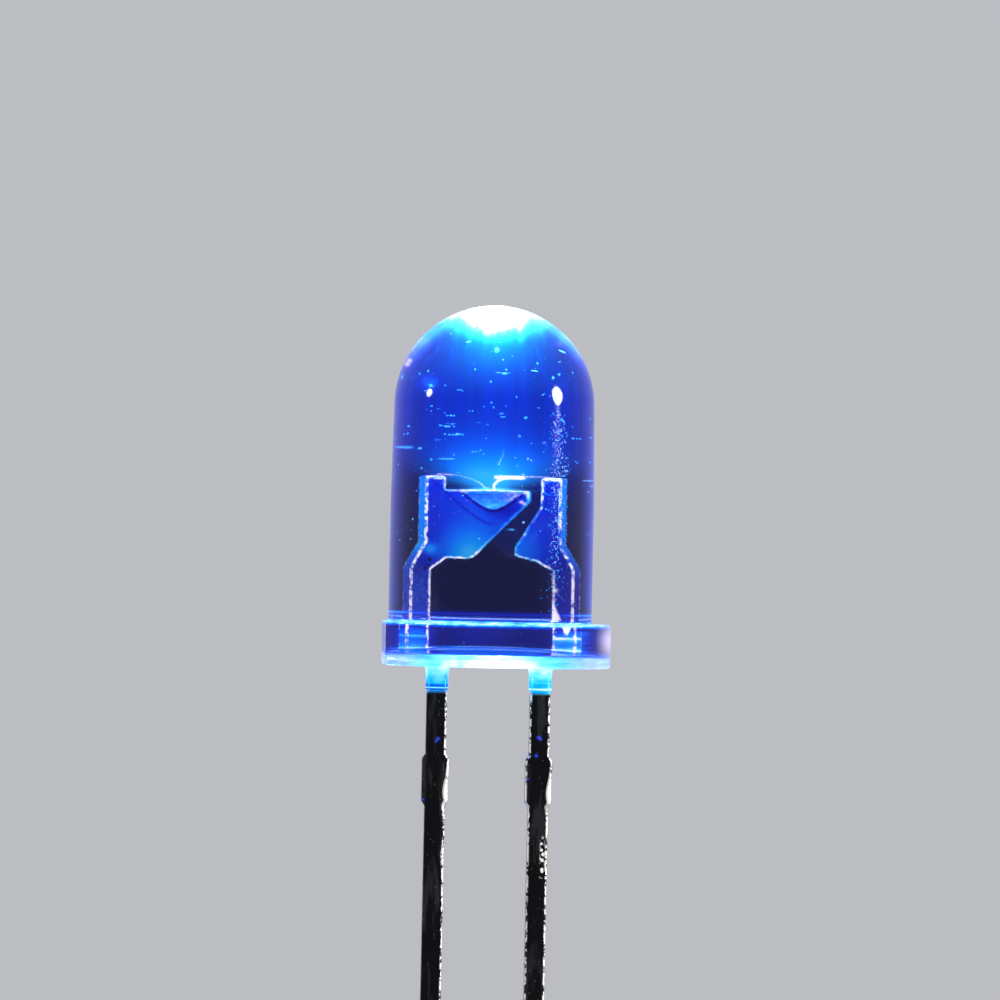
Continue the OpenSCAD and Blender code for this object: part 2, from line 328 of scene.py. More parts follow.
# %% Build the sheet of a frame
EDGE_R = 0.05 * MM
EDGE_ANGLES = (0, 25, 50, 75, 90)
BURR = 0.008 * MM
BURR_WAVES = ((5.5, 1.0), (15, 0.7))  # waves to the millimetre, and how strong they are
POST_TOP, POST_WEAR = 0.1 * MM, 0.6
WORN = [(-3.1 * MM, 0.4 * MM, 1.9), (-4.7 * MM, 0.3 * MM, 0.6)]  # height, reach and wear


def ways_out(stops):
    """The way out of the outline at each stop, longer at a corner, so that an offset stays even."""
    ways = []
    for before, here, after in zip(stops[-1:] + stops[:-1], stops, stops[1:] + stops[:1]):
        first, second = (here - before).normalized(), (after - here).normalized()
        both = Vector((first.y + second.y, -first.x - second.x))
        ways.append(both / (1 + first.dot(second)))
    return ways


def wear(stop, way):
    """How much rounder an edge is worn: the tops of the posts, and the stub's right side and below."""
    if way.y > 0.5 and stop.y > post_top - POST_TOP:
        return POST_WEAR
    if way.x < 0.5:
        return 0.0
    return sum(gain * math.exp(-((stop.y - z) / reach) ** 2) for z, reach, gain in WORN)


def edge_ring(bm, stops, ways, angle, side):
    """One ring of the rounding: angle 0 lies on the sheet's face and 90 on its cut side."""
    ring = []
    across, along = math.sin(math.radians(angle)), math.cos(math.radians(angle))
    for stop, way in zip(stops, ways):
        worn = wear(stop, way)
        radius = EDGE_R * (1 + worn)
        inset, depth = radius * (1 - across), half_t - radius * (1 - along)
        place = Vector((stop.x - way.x * inset, side * depth, stop.y - way.y * inset))
        wander = sum(strong * noise.noise(place / MM * per_mm) for per_mm, strong in BURR_WAVES)
        push = BURR * wander * 2 * across * along / (1 + worn)
        outward = Vector((way.x * across, side * along, way.y * across))
        ring.append(bm.verts.new(place + outward * push))
    return ring


def sheet(name, outline):
    """The flat sheet of a frame, with its rounded and ragged edges."""
    stops = even_stops(outline)
    ways = ways_out(stops)
    bm = bmesh.new()
    steps = [(angle, -1) for angle in EDGE_ANGLES] + [(angle, 1) for angle in reversed(EDGE_ANGLES)]
    rings = [edge_ring(bm, stops, ways, angle, side) for angle, side in steps]
    for low, high in zip(rings, rings[1:]):
        for k in range(len(stops)):
            after = (k + 1) % len(stops)
            bm.faces.new([low[k], low[after], high[after], high[k]])
    bm.faces.new(rings[0])
    bm.faces.new(rings[-1])
    bmesh.ops.recalc_face_normals(bm, faces=bm.faces)
    return new_piece(name, bm)

# %% [markdown]
# The cup is pressed into the arm's top edge, and pushes the metal out into a round bowl. So the
# bowl is added first and the cup is cut out of both. A face attribute called sheared then marks
# where the punch has been, because a shader can't tell a rounded edge from a flat by itself.

# %% Press the cup and finish the frames
CUP_SIDES = 96
CUT_FACE, FLAT_FACE = 0.05, 0.99


def press_cup(piece):
    """Adds the bowl under the rim and sinks the cup into it, both with a rounded rim."""
    rim = arc(BOWL_R - RIM_ROUND, rim_z - RIM_ROUND, RIM_ROUND, 0, 90, 4)
    bowl = [(0, rim_z - BOWL_H), (FOOT_R, rim_z - BOWL_H)] + rim + [(0, rim_z)]
    lip = arc(CUP_R + RIM_ROUND, rim_z - RIM_ROUND, RIM_ROUND, 180, 90, 4)
    above = [(CUP_R + RIM_ROUND, rim_z + CLEAR), (0, rim_z + CLEAR)]
    cup = [(0, cup_floor), (CUP_FLOOR_R, cup_floor)] + lip + above
    combine(piece, turned("bowl_tool", bowl, CUP_SIDES), "UNION")
    return combine(piece, turned("cup_tool", cup, CUP_SIDES), "DIFFERENCE")


def shade_stamping(piece):
    """Writes sheared: 1 on a rounded edge or the rim, 0.5 on a cut side, 0 on the sheet and bowl.

    The outer edge of the cathode's lead is dull, so it counts as sheet.
    """
    mark = piece.data.attributes.new("sheared", "FLOAT", "FACE")
    for face in piece.data.polygons:
        place, turn = face.center, abs(face.normal.y)
        across = math.hypot(place.x, place.y)
        round_part = across < CUP_R + RIM_ROUND / 2 or abs(place.y) > half_t
        bowl = place.z > rim_z - BOWL_H and round_part
        rim = across < BOWL_R and rim_z - RIM_ROUND < place.z < rim_z + RIM_ROUND
        rounding = CUT_FACE < turn < FLAT_FACE
        dull = place.z < film_foot and place.x < -lead_x
        bright = rim or (rounding and not bowl and not dull)
        mark.data[face.index].value = 1.0 if bright else 0.5 * (turn <= CUT_FACE)
        face.use_smooth = turn < FLAT_FACE
    piece.data.set_sharp_from_angle(angle=math.radians(40))


def stamping(name, node, cupped):
    """One plated frame, in the place of its measured solid."""
    piece = sheet(name, front_outline(node))
    if cupped:
        press_cup(piece)
    shade_stamping(piece)
    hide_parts(node)
    print(name + ":", len(piece.data.polygons), "faces")
    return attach(piece, "root")


cathode = stamping("cathode_stamping", "cathode_frame", True)
anode = stamping("anode_stamping", "anode_frame", False)

# %% [markdown]
# ## The chip
# A blue chip is a square of clear sapphire with a thin stack of crystal on top, and that stack is
# the part that glows. Both contacts are on top, because sapphire doesn't conduct: one corner is
# etched down for the cathode's pad, the anode's pad sits on the other side, and thin fingers of
# metal spread the current. It is three small forms in one mesh, each with its own finish.

# %% Sizes of the chip
PAD_R = 0.045 * MM
PAD_H = 0.003 * MM
STACK_H = 0.008 * MM
STACK_IN = 0.008 * MM
FINGER_W = 0.01 * MM
FINGER_IN = 0.03 * MM
PAD_X = 0.085 * MM
PAD_GAP = 0.012 * MM  # between a pad and the stack round it
SAPPHIRE_TAPER, STACK_TAPER = 0.004 * MM, 0.002 * MM
DISC_SIDES = 24
chip_half = chip_high.x
chip_top = chip_high.z
stack_half = chip_half - STACK_IN
stack_foot = chip_top - STACK_H - PAD_H


def add_block(bm, low, high, finish, taper=0.0):
    """A block from its low to its high corner, its top drawn in by taper, with one finish."""
    x0, y0, z0 = low
    x1, y1, z1 = high
    ring = [(x0, y0), (x1, y0), (x1, y1), (x0, y1)]
    inset = [(x0 + taper, y0 + taper), (x1 - taper, y0 + taper),
             (x1 - taper, y1 - taper), (x0 + taper, y1 - taper)]
    foot = [bm.verts.new((x, y, z0)) for x, y in ring]
    top = [bm.verts.new((x, y, z1)) for x, y in inset]
    faces = [bm.faces.new(foot[::-1]), bm.faces.new(top)]
    for k in range(4):
        faces.append(bm.faces.new([foot[k], foot[(k + 1) % 4], top[(k + 1) % 4], top[k]]))
    for face in faces:
        face.material_index = finish


def add_disc(bm, x, y, z0, z1, radius, finish):
    """A low round pad with a rounded edge."""
    profile = [(0, z0), (radius, z0), (radius, (z0 + z1) / 2), (radius * 0.94, z1), (0, z1)]
    rings = []
    for r, z in profile:
        turns = [2 * math.pi * k / DISC_SIDES for k in range(DISC_SIDES if r else 1)]
        rings.append([bm.verts.new((x + r * math.cos(a), y + r * math.sin(a), z)) for a in turns])
    for low, high in zip(rings, rings[1:]):
        for k in range(DISC_SIDES):
            corners = [low[i % len(low)] for i in (k, k + 1)[:len(low)]]
            corners += [high[i % len(high)] for i in (k + 1, k)[:len(high)]]
            bm.faces.new(corners).material_index = finish

# %% Build the chip
SAPPHIRE, STACK, PAD = 0, 1, 2


def build_chip():
    """Sapphire, the glowing stack and the two contacts with their fingers."""
    bm = bmesh.new()
    h, s = chip_half, stack_half
    add_block(bm, (-h, -h, chip_low.z), (h, h, stack_foot), SAPPHIRE, SAPPHIRE_TAPER)
    etched = -PAD_X + PAD_R + PAD_GAP
    add_block(bm, (etched, -s, stack_foot), (s, s, chip_top - PAD_H), STACK, STACK_TAPER)
    for way in (-1, 1):
        low, high = sorted((way * s, way * (PAD_R + PAD_GAP)))
        add_block(bm, (-s, low, stack_foot), (etched, high, chip_top - PAD_H), STACK, STACK_TAPER)
    add_disc(bm, -PAD_X, 0, stack_foot, chip_top, PAD_R, PAD)
    add_disc(bm, PAD_X, 0, chip_top - PAD_H, chip_top, PAD_R, PAD)
    for way in (-1, 1):
        y = way * (s - FINGER_IN)
        low, high = sorted((y, y - way * FINGER_W))
        add_block(bm, (-s * 0.6, low, chip_top - PAD_H), (PAD_X, high, chip_top - PAD_H / 2), PAD)
    add_block(bm, (PAD_X - FINGER_W, -s + FINGER_IN, chip_top - PAD_H),
              (PAD_X, s - FINGER_IN, chip_top - PAD_H / 2), PAD)
    return new_piece("blue_chip", bm)


chip = build_chip()
smooth_under(chip, 30)
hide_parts("led_die")
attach(chip, "root")
print("chip:", len(chip.data.polygons), "faces,", f"{2 * chip_half / MM:.2f} mm square")

# %% [markdown]
# ## The glue under the chip
# The chip is pressed into a dot of clear adhesive, which is squeezed out and climbs its sides. Seen
# from above it is square inside and round outside, so it is lofted: each ring is a blend of the
# chip's square and the dot's circle, and its height falls away in a hollow curve.

# %% Build the glue
GLUE_SIDES = 64
GLUE_RINGS = 8
GLUE_WAVE = 0.05


def square_reach(angle, half):
    """Distance from the middle of a square to its side, in one direction."""
    return half / max(abs(math.cos(angle)), abs(math.sin(angle)))


def glue_ring(bm, share, z):
    """One ring, from the chip's square at share 0 to the round edge at share 1."""
    ring = []
    for k in range(GLUE_SIDES):
        angle = 2 * math.pi * (k + 0.5) / GLUE_SIDES
        ripple = noise.noise(Vector((math.cos(angle), math.sin(angle), 2.0)))
        wave = 1 - GLUE_WAVE * share * (1 + ripple)
        inner = square_reach(angle, chip_half)
        reach = inner + (glue_high.x * wave - inner) * share
        ring.append(bm.verts.new((reach * math.cos(angle), reach * math.sin(angle), z)))
    return ring


def build_glue():
    """A straight wall against the chip, and the hollow slope round it."""
    bm = bmesh.new()
    rings = [glue_ring(bm, 0, chip_low.z)]
    for k in range(GLUE_RINGS + 1):
        share = k / GLUE_RINGS
        height = glue_low.z + (glue_high.z - glue_low.z) * (1 - share) ** 2
        rings.append(glue_ring(bm, share, height))
    for low, high in zip(rings, rings[1:]):
        for k in range(GLUE_SIDES):
            nxt = (k + 1) % GLUE_SIDES
            bm.faces.new([low[k], low[nxt], high[nxt], high[k]])
    bm.faces.new(rings[0])
    bm.faces.new(rings[-1][::-1])
    bmesh.ops.recalc_face_normals(bm, faces=bm.faces)
    return new_piece("chip_glue", bm)


glue = build_glue()
smooth_under(glue, 40)
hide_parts("die_attach")
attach(glue, "root")
print("glue:", len(glue.data.polygons), "faces")

# %% [markdown]
# ## The bond wires
# A bonding machine melts the end of a gold wire into a ball, presses it on the chip, draws a loop
# and then crushes the wire against the post, which cuts it off. So each wire has three parts: a
# flattened ball with a small collar, the loop, and a wide thin stitch.
#
# The loop is a Bezier curve, swept with a ring that turns with it. Towards its end the ring is
# squeezed flat and spread wide.

# %% Sizes of the wires
WIRE_R = 0.0175 * MM
BALL_R = 0.044 * MM
BALL_H = 0.025 * MM
COLLAR_R = 0.028 * MM
WIRE_SIDES = 16
BALL_SIDES = 24
WIRE_RINGS = 72
STITCH_FROM = 0.9
STITCH_FLAT = 0.35
STITCH_WIDE = 2.3
BOW_X = 0.48 * MM
stitch_x = 1.0 * MM


def on_curve(points, t):
    """Point and heading of a Bezier curve with four control points."""
    a, b, c, d = points
    place = a * (1 - t) ** 3 + b * 3 * t * (1 - t) ** 2 + c * 3 * t ** 2 * (1 - t) + d * t ** 3
    heading = (b - a) * (1 - t) ** 2 + (c - b) * 2 * t * (1 - t) + (d - c) * t ** 2
    return place, heading.normalized()


def stitched(t, share):
    """1 along the wire, turning smoothly to share where the tool crushed it."""
    if t < STITCH_FROM:
        return 1.0
    s = (t - STITCH_FROM) / (1 - STITCH_FROM)
    return 1 + (share - 1) * s * s * (3 - 2 * s)

# %% Build the wires
def join_rings(bm, rings):
    """Faces between each ring and the next, and a face on both ends."""
    sides = len(rings[0])
    for low, high in zip(rings, rings[1:]):
        for k in range(sides):
            nxt = (k + 1) % sides
            bm.faces.new([low[k], low[nxt], high[nxt], high[k]])
    bm.faces.new(rings[0])
    bm.faces.new(rings[-1])


def wire_ball(bm, foot):
    """The ball pressed on the chip, with the collar that the machine's nozzle leaves on it."""
    profile = arc(BALL_R - BALL_H / 2, BALL_H / 2, BALL_H / 2, -90, 80, 8)
    profile += [(COLLAR_R, BALL_H), (COLLAR_R * 0.9, BALL_H * 1.35), (WIRE_R, BALL_H * 1.7)]
    turns = [2 * math.pi * i / BALL_SIDES for i in range(BALL_SIDES)]
    rings = []
    for r, z in profile:
        places = [foot + Vector((r * math.cos(a), r * math.sin(a), z)) for a in turns]
        rings.append([bm.verts.new(place) for place in places])
    join_rings(bm, rings)


def bond_wire(name, node, side, lean_x, rise, fall):
    """One wire; side is -1 for the cathode's post and 1 for the anode's.

    The wire leaves its ball towards lean_x, at rise over the post, and comes down from fall over it.
    """
    start = Vector((side * PAD_X, 0, chip_top))
    end = Vector((side * stitch_x, 0, post_top + WIRE_R * STITCH_FLAT))
    route = [
        start + Vector((0, 0, BALL_H / 2)), Vector((lean_x, 0, post_top + rise)),
        Vector((side * BOW_X, 0, post_top + fall)), end,
    ]
    bm = bmesh.new()
    rings = []
    for k in range(WIRE_RINGS + 1):
        t = k / WIRE_RINGS
        place, heading = on_curve(route, t)
        up = Vector((-heading.z, 0, heading.x))
        high, wide = WIRE_R * stitched(t, STITCH_FLAT), WIRE_R * stitched(t, STITCH_WIDE)
        turns = [2 * math.pi * i / WIRE_SIDES for i in range(WIRE_SIDES)]
        rings.append([bm.verts.new(place + up * high * math.cos(a) + Vector((0, wide * math.sin(a), 0)))
                      for a in turns])
    join_rings(bm, rings)
    wire_ball(bm, start)
    bmesh.ops.recalc_face_normals(bm, faces=bm.faces)
    piece = new_piece(name, bm)
    smooth_under(piece, 50)
    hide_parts(node)
    print(name + ":", len(piece.data.polygons), "faces")
    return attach(piece, "root")


cathode_wire = bond_wire("cathode_gold_wire", "cathode_bond_wire", side=-1,
                         lean_x=-PAD_X, rise=-0.1 * MM, fall=0.1 * MM)
anode_wire = bond_wire("anode_gold_wire", "anode_bond_wire", side=1,
                       lean_x=-0.2 * MM, rise=0.06 * MM, fall=0.02 * MM)

# %% [markdown]
# ## Bubbles and dust in the resin
# Resin is poured, so it holds a few specks: round bubbles, small flat flakes that lie level because
# they settled there, one short fibre over the cup, and a trail of fine dust that ran down the mould's
# wall. Lit from the chip, they are the bright dots that show how clear the rest is. They are too deep
# for a pattern on the surface, so each is a small closed form. Most are at a place drawn from a
# seeded sequence, which makes the same dirt every time; a few larger flakes are listed one by one.

# %% Sizes and places of the specks
SPECKS = 120
FLAKES = 36
SPECK_LOW = 3.0 * MM
SPECK_GAP = 0.5 * MM  # between the highest speck and the top of the dome
KEEP_OUT = (1.4 * MM, 0.7 * MM, 0.1 * MM)  # no speck this near the posts: to the side, in front, above
WALL_SHARE = 0.94  # specks lie within this share of the lens's radius
FLAKE_SHARE = 0.93  # and the listed flakes at this share
FLAKES_IN_FRONT = [  # x, z and half length in millimetres, and how many crumbs it broke into
    (-1.03, 5.67, 0.26, 6), (-1.2, 5.86, 0.2, 4), (-1.13, 6.13, 0.1, 3), (-2.1, 5.67, 0.07, 3),
    (-0.65, 6.26, 0.06, 2), (-1.57, 6.33, 0.04, 1), (-1.57, 6.22, 0.02, 1), (1.9, 5.64, 0.13, 3),
    (2.22, 5.64, 0.03, 1), (1.9, 5.05, 0.05, 2), (2.22, 5.05, 0.03, 1), (-0.52, 5.25, 0.08, 3),
    (-0.42, 5.3, 0.03, 1), (-0.32, 5.2, 0.03, 1), (0.12, 7.16, 0.3, 1), (0.12, 7.16, 0.06, 1),
]
TRAIL = 330
TRAIL_TURN, TRAIL_WIDTH = -52.0, 4.2  # degrees round from the anode's side
TRAIL_LOW, TRAIL_HIGH = 1.4, 6.3  # millimetres
TRAIL_IN, TRAIL_OUT = 0.955, 0.98  # shares of the barrel's radius
DUSTY = 1  # the number of the dust's finish; the lit specks have finish 0

# %% Build the specks
def free_place(draw):
    """A place in the barrel or the dome, outside the posts and the chip's cup."""
    while True:
        z = draw.uniform(SPECK_LOW, lens_top - SPECK_GAP)
        turn, reach = draw.uniform(0, 2 * math.pi), barrel_r * WALL_SHARE * math.sqrt(draw.random())
        middle = Vector((reach * math.cos(turn), reach * math.sin(turn), z))
        in_dome = z < dome_z or (middle - Vector((0, 0, dome_z))).length < DOME_R * WALL_SHARE
        beside, before, above = KEEP_OUT
        by_posts = z < post_top + above and abs(middle.y) < before and abs(middle.x) < beside
        if in_dome and not by_posts:
            return middle


def add_speck(bm, middle, turn, radius, shape, fineness):
    """A ball, or a ball drawn out to a shape, turned round the upright axis."""
    place = Matrix.Translation(middle) @ Matrix.Rotation(turn, 4, "Z") @ Matrix.Diagonal(shape).to_4x4()
    return bmesh.ops.create_icosphere(bm, subdivisions=fineness, radius=radius, matrix=place)


def add_loose_specks(bm, draw):
    """Round bubbles and level flakes, all over the lens."""
    for k in range(SPECKS + FLAKES):
        middle, turn = free_place(draw), draw.uniform(0, math.pi)
        size = draw.uniform(0.01, 0.032) * MM
        if k < SPECKS:
            add_speck(bm, middle, turn, size, Vector((1, 1, 1)), 1)
        else:
            add_speck(bm, middle, turn, 0.6 * size, Vector((draw.uniform(4, 9), 2, 0.8)), 2)


def add_flake(bm, x, z, half_length):
    """A thin flake just inside the front wall, turned along it. x, z and length are in millimetres."""
    reach = FLAKE_SHARE * (barrel_r if z < dome_z / MM else DOME_R * WALL_SHARE)
    middle = Vector((x * MM, -math.sqrt(reach ** 2 - (x * MM) ** 2), z * MM))
    thick = 0.009 if half_length > 0.2 else 0.017 + 0.1 * half_length
    along_wall = math.atan2(middle.y, middle.x) + math.pi / 2
    add_speck(bm, middle, along_wall, MM, Vector((max(half_length, thick), 2 * thick, thick)), 2)


def add_placed_flakes(bm):
    """The listed flakes, each broken into a row of crumbs."""
    jitter = random.Random(9)
    for x, z, half_length, crumbs in FLAKES_IN_FRONT:
        for k in range(crumbs):
            along = half_length * ((2 * k + 1) / crumbs - 1) + jitter.uniform(-0.02, 0.02)
            rise = jitter.uniform(-0.018, 0.018)
            add_flake(bm, x + along, z + rise, half_length / crumbs * jitter.uniform(0.6, 1.4))


def add_trail(bm, draw):
    """The dust that ran down close to the wall."""
    for _ in range(TRAIL):
        z = draw.uniform(TRAIL_LOW, TRAIL_HIGH) * MM
        turn = math.radians(TRAIL_TURN + draw.gauss(0, TRAIL_WIDTH))
        reach = barrel_r * draw.uniform(TRAIL_IN, TRAIL_OUT)
        middle = Vector((reach * math.cos(turn), reach * math.sin(turn), z))
        made = add_speck(bm, middle, 0.0, draw.uniform(0.005, 0.022) * MM, Vector((1, 1, 1)), 1)
        for face in {face for vert in made["verts"] for face in vert.link_faces}:
            face.material_index = DUSTY


def build_specks():
    """All the specks in one mesh, with one finish for the lit ones and one for the dust."""
    bm = bmesh.new()
    draw = random.Random(5)
    add_loose_specks(bm, draw)
    add_placed_flakes(bm)
    add_trail(bm, draw)
    return new_piece("resin_specks", bm)

# %% Build the fibre
FIBRE_R = 0.006 * MM
FIBRE_STEPS = 12
FIBRE_SIDES = 8
FIBRE_FOOT = Vector((0.08 * MM, -0.5 * MM, 4.95 * MM))
FIBRE_BENDS = ((0.02, 0.0, 0.12), (0.09, 0.02, 0.2), (0.08, 0.03, 0.34))


def build_fibre():
    """A bent fibre that tapers upwards, with a tiny knot at its foot."""
    bm = bmesh.new()
    route = [FIBRE_FOOT] + [FIBRE_FOOT + Vector(bend) * MM for bend in FIBRE_BENDS]
    turns = [2 * math.pi * i / FIBRE_SIDES for i in range(FIBRE_SIDES)]
    rings = []
    for k in range(FIBRE_STEPS + 1):
        place, _ = on_curve(route, k / FIBRE_STEPS)
        thick = FIBRE_R * (1 - 0.6 * k / FIBRE_STEPS)
        ways = [Vector((math.cos(a), math.sin(a), 0)) for a in turns]
        rings.append([bm.verts.new(place + way * thick) for way in ways])
    join_rings(bm, rings)
    add_speck(bm, FIBRE_FOOT, 0.0, 2.6 * FIBRE_R, Vector((1, 1, 1)), 2)
    bmesh.ops.recalc_face_normals(bm, faces=bm.faces)
    return new_piece("stray_fibre", bm)


specks, fibre = build_specks(), build_fibre()
for piece in (specks, fibre):
    smooth_under(piece, 60)
    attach(piece, "root")
    print(piece.name + ":", len(piece.data.polygons), "faces")

# %% [markdown]
# ## Small tools for materials
# A material is a tree of nodes, and a few helpers keep the trees readable. add_node adds a node and
# fills its sockets by name, with a number, a colour or a link from another node. math_step, fade,
# ramp and mix_colour are the nodes used most. new_group and use_group make a node group, which is a
# small tree with named inputs and outputs that several materials can share, and put it to use.
# new_material makes a material and sets its main shader.

# %% Helpers for node trees
def add_node(tree, kind, values=None, **settings):
    """Adds a node. settings are its own options; values go on its sockets by name."""
    made = tree.nodes.new(kind)
    for key, value in settings.items():
        setattr(made, key, value)
    for key, value in (values or {}).items():
        if isinstance(value, bpy.types.NodeSocket):
            tree.links.new(value, made.inputs[key])
        else:
            made.inputs[key].default_value = value
    return made


def math_step(tree, operation, *values, clamp=False):
    """One Math node; returns its output."""
    made = add_node(tree, "ShaderNodeMath", operation=operation, use_clamp=clamp)
    for socket, value in zip(made.inputs, values):
        if isinstance(value, bpy.types.NodeSocket):
            tree.links.new(value, socket)
        else:
            socket.default_value = value
    return made.outputs[0]


def fade(tree, value, start, end, low=0.0, high=1.0):
    """low at start, high at end, and a soft S between them."""
    values = {"Value": value, "From Min": start, "From Max": end, "To Min": low, "To Max": high}
    made = add_node(tree, "ShaderNodeMapRange", values, interpolation_type="SMOOTHSTEP")
    return made.outputs["Result"]


def ramp(tree, value, stops):
    """A Color Ramp node; stops are (place, colour)."""
    made = add_node(tree, "ShaderNodeValToRGB", {"Fac": value})
    elements = made.color_ramp.elements
    while len(elements) < len(stops):
        elements.new(0.5)
    for element, (place, colour) in zip(elements, stops):
        element.position, element.color = place, (*colour, 1)
    return made.outputs["Color"]


def mix_colour(tree, share, first, second):
    """The first colour at share 0 and the second at share 1."""
    made = add_node(tree, "ShaderNodeMix", data_type="RGBA")
    for socket, value in zip((made.inputs[0], made.inputs[6], made.inputs[7]), (share, first, second)):
        if isinstance(value, bpy.types.NodeSocket):
            tree.links.new(value, socket)
        else:
            socket.default_value = value if socket.type == "VALUE" else (*value, 1)
    return made.outputs[2]


def new_group(name, inputs, outputs):
    """An empty node group with named sockets; returns it with its input and output nodes."""
    group = bpy.data.node_groups.new(name, "ShaderNodeTree")
    for label, kind, value in inputs:
        group.interface.new_socket(label, in_out="INPUT", socket_type=kind).default_value = value
    for label, kind in outputs:
        group.interface.new_socket(label, in_out="OUTPUT", socket_type=kind)
    return group, group.nodes.new("NodeGroupInput"), group.nodes.new("NodeGroupOutput")


def use_group(tree, group, values):
    """Places a group in a material, with its own values."""
    made = tree.nodes.new("ShaderNodeGroup")
    made.node_tree = group
    for key, value in values.items():
        if isinstance(value, bpy.types.NodeSocket):
            tree.links.new(value, made.inputs[key])
        else:
            made.inputs[key].default_value = value
    return made


def new_material(name, values):
    """A material with its Principled BSDF set; returns the material, its tree and the shader."""
    material = bpy.data.materials.new(name)
    material.use_nodes = True
    shader = material.node_tree.nodes["Principled BSDF"]
    for key, value in values.items():
        shader.inputs[key].default_value = value
    return material, material.node_tree, shader

# %% [markdown]
# Most of what a material does is arithmetic on the place of a point: how far it is from an edge, or
# whether it lies in a band. These short names make that readable. Each gives the output of a node,
# so they can be nested like ordinary sums. gauss and fade are the two soft shapes: a bell round one
# value, and a slope between two.

# %% Helpers for arithmetic
def product(tree, *values):
    """All the values multiplied together."""
    result = values[0]
    for value in values[1:]:
        result = math_step(tree, "MULTIPLY", result, value)
    return result


def total(tree, *values):
    """All the values added together."""
    result = values[0]
    for value in values[1:]:
        result = math_step(tree, "ADD", result, value)
    return result


def largest(tree, *values):
    """The largest of the values."""
    result = values[0]
    for value in values[1:]:
        result = math_step(tree, "MAXIMUM", result, value)
    return result


def difference(tree, first, second):
    """The first value less the second."""
    return math_step(tree, "SUBTRACT", first, second)


def scaled(tree, value, gain, offset, clamp=False):
    """The value times the gain, plus the offset."""
    return math_step(tree, "MULTIPLY_ADD", value, gain, offset, clamp=clamp)


def size_of(tree, value):
    """The value without its sign."""
    return math_step(tree, "ABSOLUTE", value)


def in_front(tree, y):
    """1 on the front half of the part, towards -Y, and 0 behind."""
    return math_step(tree, "LESS_THAN", y, 0.0)


def on_anode_side(tree, x):
    """1 on the anode's half of the part, towards +X, and 0 on the cathode's."""
    return math_step(tree, "GREATER_THAN", x, 0.0)


def hypotenuse(tree, first, second):
    """Length of the line whose two sides are given."""
    squares = [product(tree, side, side) for side in (first, second)]
    return math_step(tree, "SQRT", total(tree, *squares))


def gauss(tree, value, width, middle=0.0):
    """1 where the value is in the middle, falling like a bell."""
    share = math_step(tree, "DIVIDE", difference(tree, value, middle), width)
    return math_step(tree, "EXPONENT", product(tree, product(tree, share, share), -1.0))


def soft_spot(tree, x, z, at_x, at_z, size):
    """A round soft spot, as seen from the front."""
    off = hypotenuse(tree, difference(tree, x, at_x), difference(tree, z, at_z))
    return gauss(tree, off, size)


def soft_spots(tree, x, z, places):
    """Several soft spots in one mask; each place is (x, z, size)."""
    return total(tree, *[soft_spot(tree, x, z, *place) for place in places])

# %% [markdown]
# ## What the materials share
# Three effects turn up in more than one material, so each is a group.
#
# ** Light of the chip.** Everything in the resin is lit by the chip, and the nearer it is the
# brighter. That light is painted: it is worked out from the distance to the chip and given to each
# material as an emission colour. A camera turns strong blue light into cyan and then into white, so
# the amount of light goes through a ramp of these colours.

# %% Group: light of the chip
MM_PER_M = 1000.0
CHIP_LIGHT_STOPS = [
    (0.0, (0.0, 0.0, 0.0)), (0.12, (0.0, 0.0005, 0.05)), (0.3, (0.0, 0.002, 0.15)),
    (0.42, (0.0, 0.026, 0.25)), (0.55, (0.0, 0.12, 0.35)), (0.66, (0.0, 0.25, 0.37)),
    (0.8, (0.06, 0.55, 0.4)), (1.0, (1.0, 0.95, 0.5)),
]


def place_in_mm(tree):
    """Position on the piece in millimetres, in the frame of the part."""
    place = add_node(tree, "ShaderNodeTexCoord").outputs["Object"]
    in_mm = add_node(tree, "ShaderNodeVectorMath", {"Scale": MM_PER_M}, operation="SCALE")
    tree.links.new(place, in_mm.inputs[0])
    return in_mm.outputs[0]


def distance_from(tree, place, point):
    """Straight distance of a place from a point, in millimetres."""
    made = add_node(tree, "ShaderNodeVectorMath", operation="DISTANCE")
    tree.links.new(place, made.inputs[0])
    made.inputs[1].default_value = point
    return made.outputs["Value"]


def make_chip_light():
    """Colour of the chip's light: Gain at the chip, falling away over Reach, with Extra added."""
    group, given, result = new_group(
        "Light of the chip",
        [("Reach", "NodeSocketFloat", 1.3), ("Gain", "NodeSocketFloat", 1.0),
         ("Extra", "NodeSocketFloat", 0.0)],
        [("Colour", "NodeSocketColor")],
    )
    away = distance_from(group, place_in_mm(group), (0, 0, chip_top / MM))
    share = math_step(group, "DIVIDE", away, given.outputs["Reach"])
    fall = math_step(group, "EXPONENT", product(group, share, -1.0))
    amount = scaled(group, fall, given.outputs["Gain"], given.outputs["Extra"], clamp=True)
    group.links.new(ramp(group, amount, CHIP_LIGHT_STOPS), result.inputs["Colour"])
    return group


chip_light = make_chip_light()
print("group:", chip_light.name)

# %% [markdown]
# **Fine specks.** Dust on the lens and grains in the plating are the same thing to a shader: small
# round dots at random. A Voronoi texture gives every cell a middle and a random colour. A dot is
# what lies near the middle, and the colour decides which cells have one.

